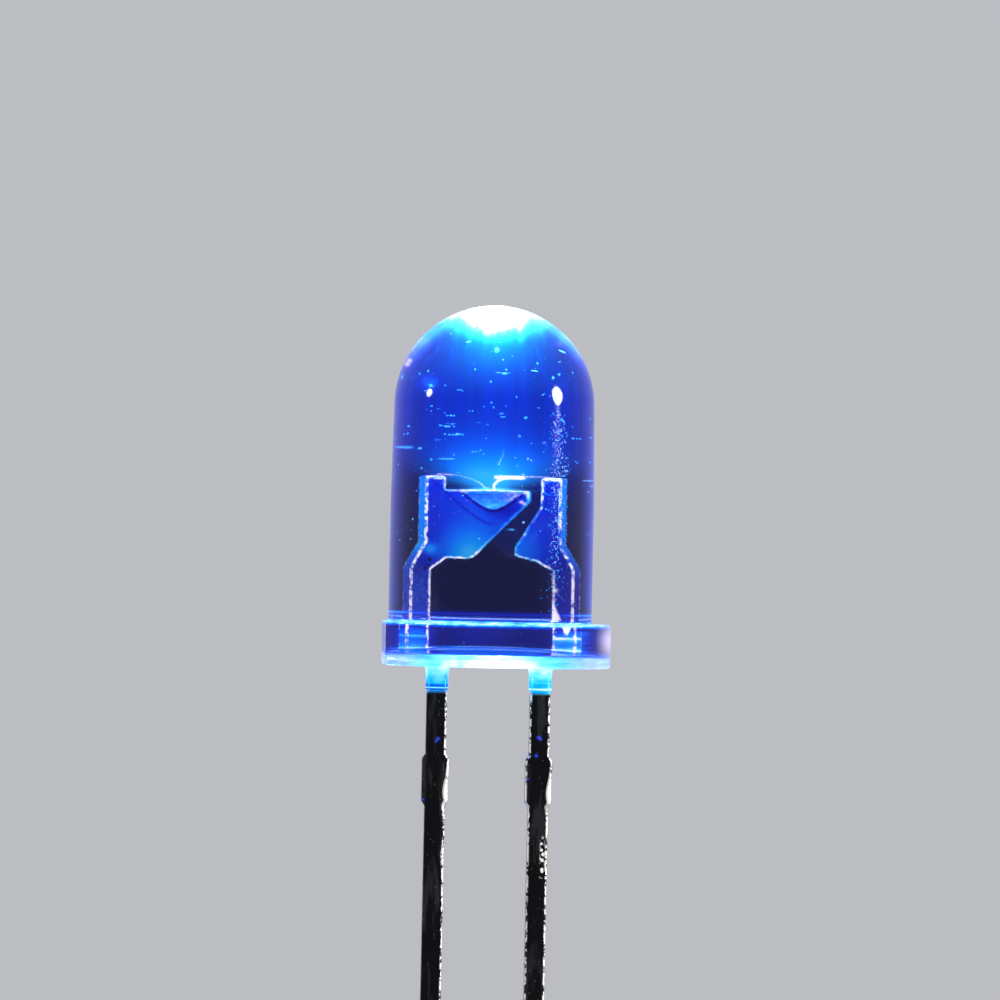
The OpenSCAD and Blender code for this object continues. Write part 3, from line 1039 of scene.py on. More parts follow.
# %% Group: fine specks
def make_specks_group():
    """Mask of round dots: how many cells to the millimetre, how large a dot, what share has one."""
    group, given, result = new_group(
        "Fine specks",
        [("Per mm", "NodeSocketFloat", 8.0), ("Size", "NodeSocketFloat", 0.25),
         ("Share", "NodeSocketFloat", 0.3)],
        [("Mask", "NodeSocketFloat")],
    )
    cells = add_node(group, "ShaderNodeTexVoronoi", {
        "Vector": place_in_mm(group), "Scale": given.outputs["Per mm"], "Randomness": 1.0})
    off_middle = math_step(group, "DIVIDE", cells.outputs["Distance"], given.outputs["Size"])
    near = math_step(group, "SUBTRACT", 1.0, off_middle, clamp=True)
    chance = add_node(group, "ShaderNodeSeparateColor", {"Color": cells.outputs["Color"]}).outputs["Red"]
    chosen = math_step(group, "LESS_THAN", chance, given.outputs["Share"])
    group.links.new(product(group, near, chosen), result.inputs["Mask"])
    return group


fine_specks = make_specks_group()
print("group:", fine_specks.name)

# %% [markdown]
# **Uneven finish.** No real surface is equally smooth all over. Noise drawn out along one axis
# stands for the flow of resin in a mould, the run of solder down a lead and the marks of rolling.

# %% Group: uneven finish
NOISE_LOW, NOISE_HIGH = 0.3, 0.7  # nearly all of the noise lies between these


def make_uneven_group():
    """Noise drawn out by Stretch: Value runs from Low to High, and Height is the noise as it is."""
    group, given, result = new_group(
        "Uneven finish",
        [("Per mm", "NodeSocketFloat", 3.0), ("Stretch", "NodeSocketVector", (1, 1, 1)),
         ("Low", "NodeSocketFloat", 0.1), ("High", "NodeSocketFloat", 0.3)],
        [("Value", "NodeSocketFloat"), ("Height", "NodeSocketFloat")],
    )
    drawn = add_node(group, "ShaderNodeVectorMath", operation="MULTIPLY")
    group.links.new(place_in_mm(group), drawn.inputs[0])
    group.links.new(given.outputs["Stretch"], drawn.inputs[1])
    grain = add_node(group, "ShaderNodeTexNoise", {
        "Vector": drawn.outputs[0], "Scale": given.outputs["Per mm"], "Detail": 4.0, "Roughness": 0.6})
    spread = add_node(group, "ShaderNodeMapRange", {
        "Value": grain.outputs["Fac"], "From Min": NOISE_LOW, "From Max": NOISE_HIGH,
        "To Min": given.outputs["Low"], "To Max": given.outputs["High"]})
    group.links.new(spread.outputs["Result"], result.inputs["Value"])
    group.links.new(grain.outputs["Fac"], result.inputs["Height"])
    return group


uneven = make_uneven_group()
print("group:", uneven.name)

# %% [markdown]
# ## The resin
# Clear resin is glass to a renderer: full transmission and a refractive index of about 1.53. Three
# things make it look lit, and all three are painted light. Its tint is painted shade and light that
# change with height, dark round the legs and deep blue in the dome, where the light gathers. Its
# surface glows where light gets out: at the tip and beside it, at the foot of the barrel and up its
# sides, in the flange, in the hollow underside and on the films of resin down the leads. And a haze
# inside glows in the cone of light over the cup.
#
# Each function below says how strongly one of these places glows, from 0 to 1, with its places in
# millimetres. The strongest wins at every point, and a ramp turns the result into a colour. The
# soft edges are part of each formula, so nothing here needs a picture wrapped round the part.

# %% Where the resin glows on its surface
RESIN_IOR = 1.53
RESIN_STRENGTH = 8.0
SURFACE_STOPS = [
    (0.0, (0.0, 0.0, 0.0)), (0.25, (0.0, 0.001, 0.04)), (0.5, (0.0, 0.012, 0.11)),
    (0.7, (0.0, 0.055, 0.125)), (0.85, (0.03, 0.11, 0.125)), (1.0, (0.13, 0.13, 0.13)),
]
DEEP_STOPS = [
    (0.0, (0.0, 0.0, 0.0)), (0.25, (0.0, 0.007, 0.11)), (0.5, (0.0, 0.17, 0.42)),
    (0.75, (0.15, 0.7, 0.56)), (1.0, (1.0, 1.0, 0.7)),
]
# The colour of the painted sheen and glint on the flange and the brow.
LAVENDER = (0.11, 0.095, 0.125)
GLINT = [(-2.13, 7.46, 0.05), (-2.18, 7.37, 0.05)]  # x, z and size in millimetres
FILLET_Z, LINE_ABOVE_Z = 1.07, 1.3
RING_Z = -0.545


def tip_glow(tree, z, streaks):
    """Bright at the tip, with soft rays below it."""
    share = math_step(tree, "DIVIDE", difference(tree, z, dome_z / MM), DOME_R / MM)
    ragged = scaled(tree, streaks, 0.07, -0.035)
    core = fade(tree, total(tree, share, ragged), 0.66, 0.93)
    rays = product(tree, fade(tree, share, 0.05, 0.85), fade(tree, streaks, 0.35, 1.0), 0.6)
    return largest(tree, core, rays)


def film_glow(tree, x, y, z, cloud):
    """Bright where a film leaves the underside, blue further down, with a bright ring near its end.

    Above the ring the film on the cathode's side has a dark gap. The anode's has none, and its
    ring is weaker.
    """
    beside = difference(tree, size_of(tree, x), lead_x / MM)
    near = fade(tree, hypotenuse(tree, beside, y), 0.62, 0.4)
    down = scaled(tree, z, 0.62, 0.96, clamp=True)
    anode_side = on_anode_side(tree, x)
    gap = largest(tree, fade(tree, z, -0.5, -0.44), anode_side)
    ring = product(tree, gauss(tree, z, 0.03, RING_Z), scaled(tree, anode_side, -0.5, 0.88))
    uneven_down = product(tree, down, scaled(tree, cloud, 0.2, 0.88))
    below = math_step(tree, "LESS_THAN", z, 0.25)
    return product(tree, total(tree, product(tree, uneven_down, gap), ring), near, below)


def foot_glow(tree, side_x, z, cloud):
    """The bright line in the fillet at the foot of the barrel, and a fainter one above it."""
    line = product(tree, gauss(tree, z, 0.09, FILLET_Z), scaled(tree, cloud, 0.35, 0.65))
    faint = fade(tree, side_x, 1.5, 2.3, 0.28, 0.65)
    above = product(tree, gauss(tree, z, 0.035, LINE_ABOVE_Z), faint)
    return largest(tree, line, above)


def rim_glow(tree, x, z, bands):
    """Light that leaves the flange low on its wall, whitest between the leads."""
    middle = scaled(tree, gauss(tree, x, 1.5), 0.3, 0.5)
    level = total(tree, middle, product(tree, bands, 0.25))
    return product(tree, fade(tree, z, 0.4, 0.25), fade(tree, z, -0.04, 0.0), level)


def pipe_glow(tree, x, side_x, z, bands):
    """Blue light that runs round inside the flange, strong beside the legs and faint between them."""
    level = scaled(tree, bands, 0.3, 0.3)
    beside = product(tree, gauss(tree, side_x, 0.5, 2.0), level)
    between = scaled(tree, gauss(tree, x, 0.6, -0.4), 0.06, 0.06)
    return product(tree, largest(tree, beside, between), fade(tree, z, 1.0, 0.9),
                   fade(tree, z, 0.2, 0.35))


def hollow_glow(tree, x, y, z, reach, cloud):
    """The lit hollow underside, brightest between the leads, with a fine line along its roof."""
    inside = product(tree, fade(tree, reach, 2.9, 2.84), fade(tree, x, -2.56, -2.5),
                     fade(tree, z, -0.05, 0.03), math_step(tree, "LESS_THAN", z, 0.52))
    lip = product(tree, fade(tree, z, 0.45, 0.12), scaled(tree, gauss(tree, x, 1.5), 0.5, 0.5),
                  scaled(tree, cloud, 0.3, 0.85))
    between = fade(tree, size_of(tree, x), 1.7, 0.9)
    across = scaled(tree, gauss(tree, y, 0.35), 0.5, 0.4)
    roof = product(tree, fade(tree, z, 0.26, 0.36), across, between)
    return product(tree, inside, largest(tree, lip, roof))


def brow_glow(tree, y, z):
    """Light that leaves both sides of the dome beside the tip."""
    off_middle = size_of(tree, y)
    return product(tree, fade(tree, off_middle, 1.6, 0.8), fade(tree, z, 6.7, 8.3, 0.0, 0.72))


def light_cloud_glow(tree, x, y, z, cloud):
    """A faint painted cloud of light beside the left highlight."""
    level = scaled(tree, cloud, 0.3, 0.28)
    return product(tree, soft_spot(tree, x, z, -1.68, 6.92, 0.3), in_front(tree, y), level)


def wall_glow(tree, x, side_x, z, streaks):
    """Blue light that leaves the sides of the barrel, fainter on the cathode's side."""
    level = product(tree, scaled(tree, streaks, 0.1, 0.23), fade(tree, x, -1.0, 1.0, 0.5, 1.0))
    return product(tree, fade(tree, side_x, 2.05, 2.5), fade(tree, z, 1.25, 1.6),
                   fade(tree, z, 6.6, 5.0), level)


def end_sheen(tree, x, y, side_x, z, bands):
    """Pale painted sheen on the flange's far end and lower rim ends; a painted glint on the brow."""
    end = product(tree, fade(tree, x, 2.5, 2.97), gauss(tree, z, 0.36, 0.68), 0.85)
    rim = product(tree, fade(tree, side_x, 1.3, 2.4), fade(tree, z, 0.33, 0.22),
                  fade(tree, z, -0.04, 0.0), scaled(tree, bands, 0.5, 0.15))
    glint = soft_spots(tree, x, z, GLINT)
    return largest(tree, end, rim, product(tree, glint, in_front(tree, y), 0.9))

# %% [markdown]
# The haze is a volume that gives off light and takes none away. It fills the cone that the cup's
# wall lets out, and it is brightest at the cup and under the tip, where the dome sends much of the
# light straight back. Two small halos are added: one in the mouth of the cup, and one close round
# the level stretch of the anode's wire, which the chip lights from below.

# %% The haze inside the resin
HAZE_STOPS = [
    (0.0, (0.0, 0.3, 1.0)), (0.1, (0.0, 1.6, 1.6)), (0.35, (0.5, 5.0, 2.8)), (1.0, (14.0, 7.0, 4.0)),
]
HAZE_STRENGTH = 200.0
HAZE_FULL = 40.0  # the sum of the haze that takes the last colour of the ramp
WIRE_HALO, CUP_HALO = 120.0, 11.0
WIRE_Z = 4.63
RIM_MM = rim_z / MM


def wire_halo(tree, x, y, z):
    """Light scattered close round the level stretch of the anode's wire."""
    off = hypotenuse(tree, y, difference(tree, z, WIRE_Z))
    return product(tree, gauss(tree, off, 0.038), fade(tree, x, 0.0, 0.06), fade(tree, x, 0.56, 0.46))


def cup_halo(tree, x, y, z):
    """Light scattered in the mouth of the cup."""
    level = gauss(tree, z, 0.05, RIM_MM)
    return product(tree, level, gauss(tree, x, 0.4), gauss(tree, y, 0.4))


def haze(tree, place, x, y, z, streaks):
    """Colour and strength of the cone of light over the cup, brightest at the cup and under the tip."""
    across = hypotenuse(tree, x, y)
    rise = difference(tree, z, chip_top / MM)
    away = distance_from(tree, place, (0, 0, chip_top / MM))
    cone = fade(tree, math_step(tree, "DIVIDE", rise, away), 0.25, 0.8)
    column = gauss(tree, across, 1.25)
    at_cup = product(tree, gauss(tree, away, 1.1), 8.0)
    under_tip = product(tree, gauss(tree, across, 0.75), fade(tree, z, 6.5, 8.6, 0.0, 9.0))
    ragged = scaled(tree, streaks, 0.35, z)
    hot_rise = fade(tree, ragged, 7.65, 8.35, 0.0, HAZE_FULL)
    hot_spot = product(tree, gauss(tree, across, 0.62), hot_rise)
    halo = total(tree, product(tree, wire_halo(tree, x, y, z), WIRE_HALO),
                 product(tree, cup_halo(tree, x, y, z), CUP_HALO))
    bright = total(tree, at_cup, under_tip, hot_spot)
    uneven_light = scaled(tree, streaks, 0.9, 0.55)
    in_cone = product(tree, total(tree, column, bright), cone, uneven_light)
    strength = product(tree, total(tree, in_cone, halo), HAZE_STRENGTH)
    share = math_step(tree, "DIVIDE", total(tree, bright, halo), HAZE_FULL)
    return ramp(tree, share, HAZE_STOPS), strength

# %% [markdown]
# The finish of the resin is smooth but not perfect: fine dust lies on it, its gloss wanders a
# little, and the barrel has the fine grain of its mould. A narrow strip down the front, where the
# part was handled, has a row of tiny nips. A blue sheen brightens it where it is seen at a low
# angle.

# %% Material: clear resin
# Painted shade and light in the resin's colour: dark round the legs, deep blue in the dome.
PAINTED_TINT_STOPS = [
    (0.0, (0.018, 0.016, 0.09)), (0.06, (0.012, 0.01, 0.055)), (0.22, (0.01, 0.009, 0.045)),
    (0.36, (0.013, 0.014, 0.09)), (0.5, (0.012, 0.014, 0.12)), (0.75, (0.004, 0.01, 0.26)),
    (0.92, (0.004, 0.02, 0.36)), (1.0, (0.05, 0.12, 0.5)),
]
TINT_TOP = 8.0  # the height in millimetres where the tint reaches its last colour
BLUE_SHEEN = (0.25, 0.3, 1.0, 1.0)
# Cells to the millimetre and stretch of three noises: tall streaks, a round cloud and level bands.
RESIN_NOISES = ((4.0, (1, 1, 0.06)), (3.0, (1, 1, 1)), (2.0, (0.5, 0.5, 5)))


def make_resin():
    """Clear resin with its painted tint, its painted glow, its finish and the glowing haze inside."""
    material, tree, shader = new_material("clear resin", {
        "Transmission Weight": 1.0, "IOR": RESIN_IOR, "Metallic": 0.0,
        "Emission Strength": RESIN_STRENGTH, "Specular Tint": BLUE_SHEEN,
        "Sheen Weight": 0.6, "Sheen Roughness": 0.3, "Sheen Tint": BLUE_SHEEN})
    place = place_in_mm(tree)
    parts = add_node(tree, "ShaderNodeSeparateXYZ", {0: place})
    x, y, z = (parts.outputs[k] for k in range(3))
    side_x, reach = size_of(tree, x), hypotenuse(tree, x, y)
    tint = ramp(tree, fade(tree, z, 0.0, TINT_TOP), PAINTED_TINT_STOPS)
    tree.links.new(tint, shader.inputs["Base Color"])
    noises = []
    for per_mm, drawn_out in RESIN_NOISES:
        values = {"Per mm": per_mm, "Stretch": drawn_out, "Low": 0.0, "High": 1.0}
        noises.append(use_group(tree, uneven, values).outputs["Value"])
    streaks, cloud, bands = noises
    # A faint painted glow over the upper barrel and the dome.
    skin_glow = product(tree, fade(tree, z, 3.5, 7.0), scaled(tree, streaks, 0.16, 0.03))
    glow = largest(tree, tip_glow(tree, z, streaks), film_glow(tree, x, y, z, cloud),
                   foot_glow(tree, side_x, z, cloud), rim_glow(tree, x, z, bands),
                   pipe_glow(tree, x, side_x, z, bands), wall_glow(tree, x, side_x, z, streaks),
                   brow_glow(tree, y, z), light_cloud_glow(tree, x, y, z, cloud), skin_glow)
    shine = ramp(tree, glow, SURFACE_STOPS)
    under = hollow_glow(tree, x, y, z, reach, cloud)
    shine = mix_colour(tree, fade(tree, under, 0.0, 0.1), shine, ramp(tree, under, DEEP_STOPS))
    shine = mix_colour(tree, end_sheen(tree, x, y, side_x, z, bands), shine, LAVENDER)
    tree.links.new(shine, shader.inputs["Emission Color"])
    dust = use_group(tree, fine_specks, {"Per mm": 8.0, "Size": 0.28, "Share": 0.22})
    finish = use_group(tree, uneven, {"Per mm": 0.5, "Stretch": (1, 1, 3), "Low": 0.05, "High": 0.09})
    rough = scaled(tree, dust.outputs["Mask"], 0.35, finish.outputs["Value"])
    tree.links.new(rough, shader.inputs["Roughness"])
    scuffs = use_group(tree, uneven, {"Per mm": 11.0, "Stretch": (1, 1, 0.7), "Low": 0.0, "High": 1.0})
    handled = product(tree, gauss(tree, x, 0.22, 1.52), in_front(tree, y), fade(tree, z, 1.6, 3.4))
    nips = use_group(tree, fine_specks, {"Per mm": 15.0, "Size": 0.4, "Share": 0.5})
    height = total(tree, product(tree, scuffs.outputs["Height"], 0.25),
                   product(tree, nips.outputs["Mask"], handled))
    on_barrel = product(tree, height, fade(tree, z, 6.35, 6.1), fade(tree, z, 1.0, 1.3))
    bump = add_node(tree, "ShaderNodeBump", {
        "Height": on_barrel, "Strength": 0.4, "Distance": 0.01 * MM})
    tree.links.new(bump.outputs["Normal"], shader.inputs["Normal"])
    colour, strength = haze(tree, place, x, y, z, streaks)
    lit = add_node(tree, "ShaderNodeEmission", {"Color": colour, "Strength": strength})
    tree.links.new(lit.outputs["Emission"], tree.nodes["Material Output"].inputs["Volume"])
    material.cycles.volume_step_rate = 0.2
    return material


def dress(piece, *materials):
    """Gives a piece its materials, in the order of its mesh's finish numbers."""
    piece.data.materials.clear()
    for material in materials:
        piece.data.materials.append(material)


dress(lens, make_resin())
print("resin on", lens.name)

# %% [markdown]
# ## The plated frames
# Inside the resin the frames are silver plated and stay bright. Below it the leads were dipped in
# solder, which dries a darker grey and runs a little. The edges are polished by the punch, so they
# are the brightest part of a lead, and inside the resin they also get a painted highlight. The mesh
# carries an attribute called sheared, which is 1 on the rounded edges and 0.5 on the cut sides, and
# the material reads it.
#
# As with the resin, each function below is one effect of the light, painted into the emission: the
# shadow under the bowl, the light thrown back up from the flange, and the shine of the edges. After
# them come the clamp's ring, drawn only as a ring of painted light, a painted white highlight shaped
# as a wedge, a rubbed patch, which is real wear with a faint painted glow, and the two bright bands
# of painted light inside the flange.

# %% Where the light falls on the frames
LEG_IN = 1.05  # the inner edge of the anode's leg
POST_MIDDLE = 1.0
CLAMP_Z, CLAMP_R = 4.38, 0.16


def bowl_shadow(tree, x, y, z):
    """How dark the sheet is in the thin shadow under the bowl and in the wider one beside its foot."""
    down = difference(tree, RIM_MM, z)
    bowl = scaled(tree, down, -(BOWL_R - FOOT_R) / BOWL_H, BOWL_R / MM)
    outside = difference(tree, hypotenuse(tree, x, y), bowl)
    off_bowl = fade(tree, outside, 0.0, 0.015)
    near = product(tree, off_bowl, fade(tree, outside, 0.09, 0.03), fade(tree, down, 0.02, 0.1), 0.55)
    again = product(tree, gauss(tree, outside, 0.03, 0.3), fade(tree, x, 0.15, -0.15), 0.2)
    beside = product(tree, gauss(tree, x, 0.28, 0.2), gauss(tree, z, 0.2, 3.86), off_bowl, 0.35)
    return total(tree, near, again, beside)


def web_light(tree, x, side_x, z):
    """Light thrown back up from the flange, strongest low on the webs and on the cathode's side."""
    webs = product(tree, gauss(tree, side_x, 0.55, 0.38), gauss(tree, z, 0.75, 2.65),
                   fade(tree, x, -0.1, 0.2, 0.4, 0.24))
    bend = product(tree, soft_spot(tree, x, z, -1.1, 2.86, 0.14), 0.3)
    return total(tree, webs, bend)


def edge_light(tree, x, side_x, z):
    """How much a rounded edge shines: the posts, the webs' lower edges, the rim and the arm's tip."""
    posts = product(tree, fade(tree, side_x, 0.76, 0.84), 0.65)
    webs = product(tree, gauss(tree, z, 0.16, 2.68), 0.3)
    corner = size_of(tree, difference(tree, side_x, POST_MIDDLE))
    corners = product(tree, soft_spot(tree, corner, z, 0.19, 4.57, 0.1), 0.4)
    rim = product(tree, gauss(tree, x, 0.32), gauss(tree, z, 0.08, RIM_MM), 0.45)
    tip = product(tree, soft_spot(tree, x, z, 0.6, 4.2, 0.13), 0.4)
    return total(tree, posts, webs, corners, rim, tip, 0.1)


def clamp_ring_glow(tree, x, y, z):
    """The round mark of the bonding tool's clamp on the anode's post front, as a ring of painted light.
    """
    off = hypotenuse(tree, difference(tree, x, POST_MIDDLE), difference(tree, z, CLAMP_Z))
    ring = gauss(tree, off, 0.018, CLAMP_R)
    return product(tree, ring, fade(tree, x, 1.12, 0.9), in_front(tree, y))


def wedge(tree, x, y, z):
    """A painted white wedge of highlight low on the inner edge of the anode's leg, and a spot above it.
    """
    in_from = difference(tree, x, LEG_IN)
    wide = scaled(tree, z, -0.32, 0.57)
    sliver = product(tree, fade(tree, difference(tree, wide, in_from), 0.0, 0.06),
                     fade(tree, z, 1.07, 1.2), fade(tree, z, 1.85, 1.7))
    above = soft_spot(tree, x, z, LEG_IN + 0.04, 1.9, 0.05)
    on_leg = product(tree, math_step(tree, "GREATER_THAN", x, LEG_IN - 0.1), in_front(tree, y))
    return product(tree, largest(tree, sliver, above), on_leg)


def scrape(tree, x, y, z):
    """A column of bright grit beside the edge of the anode's lead, where the solder is rubbed."""
    patch = product(tree, fade(tree, x, 1.32, 1.36), fade(tree, x, 1.46, 1.42),
                    fade(tree, z, -5.2, -5.1), fade(tree, z, -4.1, -4.3))
    grit = use_group(tree, fine_specks, {"Per mm": 11.0, "Size": 0.65, "Share": 0.7}).outputs["Mask"]
    return product(tree, patch, fade(tree, grit, 0.1, 0.4), in_front(tree, y))


def flange_light(tree, x, z, bands):
    """Two bright bands across each leg inside the flange, brighter on the anode's side."""
    rise = fade(tree, z, 1.0, 0.55, 0.15, 0.42)
    upper = product(tree, gauss(tree, z, 0.035, 0.7), 0.35)
    lower = product(tree, gauss(tree, z, 0.06, 0.41), 0.4)
    level = product(tree, total(tree, rise, total(tree, upper, lower)),
                    scaled(tree, bands, 0.5, 0.7), fade(tree, x, -1.0, 1.0, 0.9, 1.3))
    return ramp(tree, level, DEEP_STOPS)

# %% [markdown]
# The plating is put together from the bottom up: solder or silver, the wear, then the colour of the
# painted light on it. On the legs, below the webs, that light is the resin's own dark blue, a little
# different on the two sides. The smallest touches are soft spots given one by one: painted glints on
# the solder, painted beads of light on the edges near the cup, and three spots of painted shade.

# %% Material: plated steel
# The darkest and brightest painted light on each leg.
CATHODE_LEG_LIGHT = ((0.003, 0.012, 0.12), (0.024, 0.07, 0.3))
ANODE_LEG_LIGHT = ((0.001, 0.001, 0.08), (0.008, 0.01, 0.17))
# The painted highlight on the edges of the legs.
LEG_EDGE_HIGHLIGHT = (0.95, 0.92, 0.52)
# The soft spots are x, z and size in millimetres.
# Painted glints on the solder below the resin.
SOLDER_GLINTS = [
    (-1.22, -1.8, 0.035), (-1.27, -1.86, 0.025), (1.25, -1.72, 0.035), (1.3, -1.76, 0.03),
    (1.2, -2.17, 0.035), (-0.97, -3.42, 0.03), (-1.57, -3.3, 0.025), (0.97, -3.4, 0.035),
    (1.0, -2.2, 0.03), (1.0, -2.75, 0.025),
]
SOLDER_GLINT_COLOUR = (0.004, 0.01, 0.125)
# A painted pinkish highlight on the bowl.
BOWL_HIGHLIGHT = (0.55, 0.38, 0.3)
# Painted beads of light on the edges near the cup.
BEAD_GLINTS = [
    (-0.52, 4.29, 0.035), (-0.46, 4.27, 0.025), (0.55, 4.26, 0.035), (0.48, 4.04, 0.03),
    (0.53, 4.0, 0.02),
    (0.81, 4.55, 0.045), (0.8, 4.47, 0.045), (-0.79, 4.5, 0.04), (-0.79, 4.42, 0.035),
]
BEAD_GLINT_COLOUR = (1.0, 0.8, 0.5)
# Spots of painted shade on the cathode's web; they darken only the painted light.
SHADE_SPOTS = [(-1.09, 2.6, 0.05), (-1.17, 2.38, 0.045), (-1.12, 2.46, 0.03)]
SHADE_SPOT_COLOUR = (0.001, 0.001, 0.012)
SOLDER = ((0.012, 0.012, 0.014), (0.04, 0.04, 0.045))
SILVER = ((0.2, 0.21, 0.28), (0.55, 0.55, 0.62))
GRAIN, UNDER_FILM, RUBBED = (0.4, 0.4, 0.43), (0.02, 0.02, 0.03), (0.9, 0.88, 0.85)
POLISHED = (0.7, 0.67, 0.62)
# The painted white highlight on the anode's leg, and the faint painted glow of the rubbed patch.
WEDGE_HIGHLIGHT, RUBBED_SHINE = (1.0, 1.0, 0.6), (0.06, 0.058, 0.055)
NO_LIGHT = (0.0, 0.0, 0.0)
FILM_OFF, SOLDER_BARE = -0.5, -0.7  # between these heights a lead comes out of its film of resin


def make_plating():
    """Silver in the resin and solder below it, with painted light and highlights on them and marks of
    wear.
    """
    material, tree, shader = new_material("plated steel", {"Metallic": 1.0, "Emission Strength": 8.0})
    parts = add_node(tree, "ShaderNodeSeparateXYZ", {0: place_in_mm(tree)})
    x, y, z = (parts.outputs[k] for k in range(3))
    side_x, front = size_of(tree, x), in_front(tree, y)
    sheared = add_node(tree, "ShaderNodeAttribute", attribute_name="sheared").outputs["Fac"]
    on_edge = fade(tree, sheared, 0.6, 0.9)
    cut_side = product(tree, fade(tree, sheared, 0.1, 0.4), difference(tree, 1.0, on_edge))
    runs = use_group(tree, uneven, {"Per mm": 2.5, "Stretch": (2.0, 2.0, 0.25), "Low": 0.12, "High": 0.3})
    # This noise varies the polish of the edges, and also the painted light on them and on the bowl.
    nicks_and_glints = use_group(tree, uneven, {"Per mm": 9.0, "Stretch": (1, 1, 1), "Low": 0.0, "High": 1.0})
    bands = use_group(tree, uneven, {"Per mm": 2.0, "Stretch": (0.6, 0.6, 4), "Low": 0.0, "High": 1.0})
    grains = use_group(tree, fine_specks, {"Per mm": 14.0, "Size": 0.3, "Share": 0.12})
    nick_and_glint = nicks_and_glints.outputs["Value"]
    inside = fade(tree, z, SOLDER_BARE, FILM_OFF)
    outside = difference(tree, 1.0, inside)
    in_film = product(tree, fade(tree, z, -0.72, -0.62), fade(tree, z, 0.3, 0.2))
    beads = fade(tree, nick_and_glint, 0.3, 0.58, scaled(tree, inside, 0.16, 0.02), 1.0)
    stub = product(tree, gauss(tree, z, 0.4, -3.1), outside)
    # Polished edges: the mask brightens their colour, which is real, and also adds a painted highlight to
    # them.
    polish_and_glint = product(tree, on_edge, largest(tree, beads, stub),
                     scaled(tree, in_film, -0.95, 1.0))
    run = runs.outputs["Height"]
    solder = mix_colour(tree, fade(tree, run, 0.5, 0.65), *SOLDER)
    silver = mix_colour(tree, run, *SILVER)
    face = mix_colour(tree, inside, solder, silver)
    worn = mix_colour(tree, product(tree, grains.outputs["Mask"], 0.5), face, GRAIN)
    worn = mix_colour(tree, in_film, worn, UNDER_FILM)
    # The rubbed patch brightens the colour of the solder, and below the resin it also gets a faint
    # painted glow.
    rubbed = scrape(tree, x, y, z)
    worn = mix_colour(tree, rubbed, worn, RUBBED)
    tree.links.new(mix_colour(tree, polish_and_glint, worn, POLISHED), shader.inputs["Base Color"])
    tree.links.new(scaled(tree, on_edge, 0.3, runs.outputs["Value"]), shader.inputs["Roughness"])

    lit = difference(tree, 1.0, bowl_shadow(tree, x, y, z))
    on_bowl_face = fade(tree, y, -0.215, -0.24)
    # Extra painted light on the bowl, the edges, the cut sides and the clamp's ring.
    bowl = product(tree, on_bowl_face, scaled(tree, nick_and_glint, 0.2, 0.2))
    edges = product(tree, polish_and_glint, edge_light(tree, x, side_x, z))
    side = product(tree, cut_side, fade(tree, z, 0.0, 4.2, 0.1, 0.28))
    mark = product(tree, clamp_ring_glow(tree, x, y, z), 0.3)
    extra = total(tree, product(tree, web_light(tree, x, side_x, z), lit), bowl, edges, side, mark)
    glow = use_group(tree, chip_light, {
        "Reach": 3.5, "Gain": product(tree, lit, 0.5), "Extra": extra}).outputs["Colour"]
    # A painted pinkish highlight on the bowl.
    patch = product(tree, on_bowl_face, soft_spot(tree, x, z, 0.34, 4.14, 0.12),
                    fade(tree, nick_and_glint, 0.3, 0.7))
    glow = mix_colour(tree, patch, glow, BOWL_HIGHLIGHT)
    # The painted light on the legs, with a painted highlight on their polished edges.
    low, high = (mix_colour(tree, on_anode_side(tree, x), *pair)
                 for pair in zip(CATHODE_LEG_LIGHT, ANODE_LEG_LIGHT))
    leg = mix_colour(tree, polish_and_glint, mix_colour(tree, nick_and_glint, low, high), LEG_EDGE_HIGHLIGHT)
    in_flange = product(tree, fade(tree, z, 1.12, 1.02), difference(tree, 1.0, polish_and_glint))
    leg = mix_colour(tree, in_flange, leg, flange_light(tree, x, z, bands.outputs["Value"]))
    shine = mix_colour(tree, fade(tree, z, 2.7, 1.9), glow, leg)
    # The painted white highlight low on the anode's leg.
    shine = mix_colour(tree, wedge(tree, x, y, z), shine, WEDGE_HIGHLIGHT)
    # Painted glints on the solder below the resin.
    solder_glints = soft_spots(tree, x, z, SOLDER_GLINTS)
    below = mix_colour(tree, product(tree, solder_glints, front), NO_LIGHT, SOLDER_GLINT_COLOUR)
    # A faint painted glow on the rubbed patch.
    below = mix_colour(tree, rubbed, below, RUBBED_SHINE)
    # Painted beads of light on the edges near the cup.
    bead_glints_here = soft_spots(tree, x, z, BEAD_GLINTS)
    shine = mix_colour(tree, product(tree, bead_glints_here, front), shine, BEAD_GLINT_COLOUR)
    # Spots of painted shade on the cathode's web.
    shade_spots_here = fade(tree, soft_spots(tree, x, z, SHADE_SPOTS), 0.3, 0.6)
    shine = mix_colour(tree, product(tree, shade_spots_here, front), shine, SHADE_SPOT_COLOUR)
    shine = mix_colour(tree, inside, below, shine)
    tree.links.new(shine, shader.inputs["Emission Color"])
    bump = add_node(tree, "ShaderNodeBump", {"Height": run, "Strength": 0.25, "Distance": 0.01 * MM})
    tree.links.new(bump.outputs["Normal"], shader.inputs["Normal"])
    return material


plating = make_plating()
for piece in (cathode, anode):
    dress(piece, plating)

# %% [markdown]
# ## Gold, sapphire and glue
# The gold is plain metal with the chip's light painted on it. The chip's stack is the lamp itself,
# so it is an emitter, and the sapphire under it glows a little less. The glue is clear, and the light
# that leaves the chip sideways is painted on it.

# %% Materials: gold, the chip and the glue
SAPPHIRE_IOR, GLUE_IOR = 1.77, 1.45


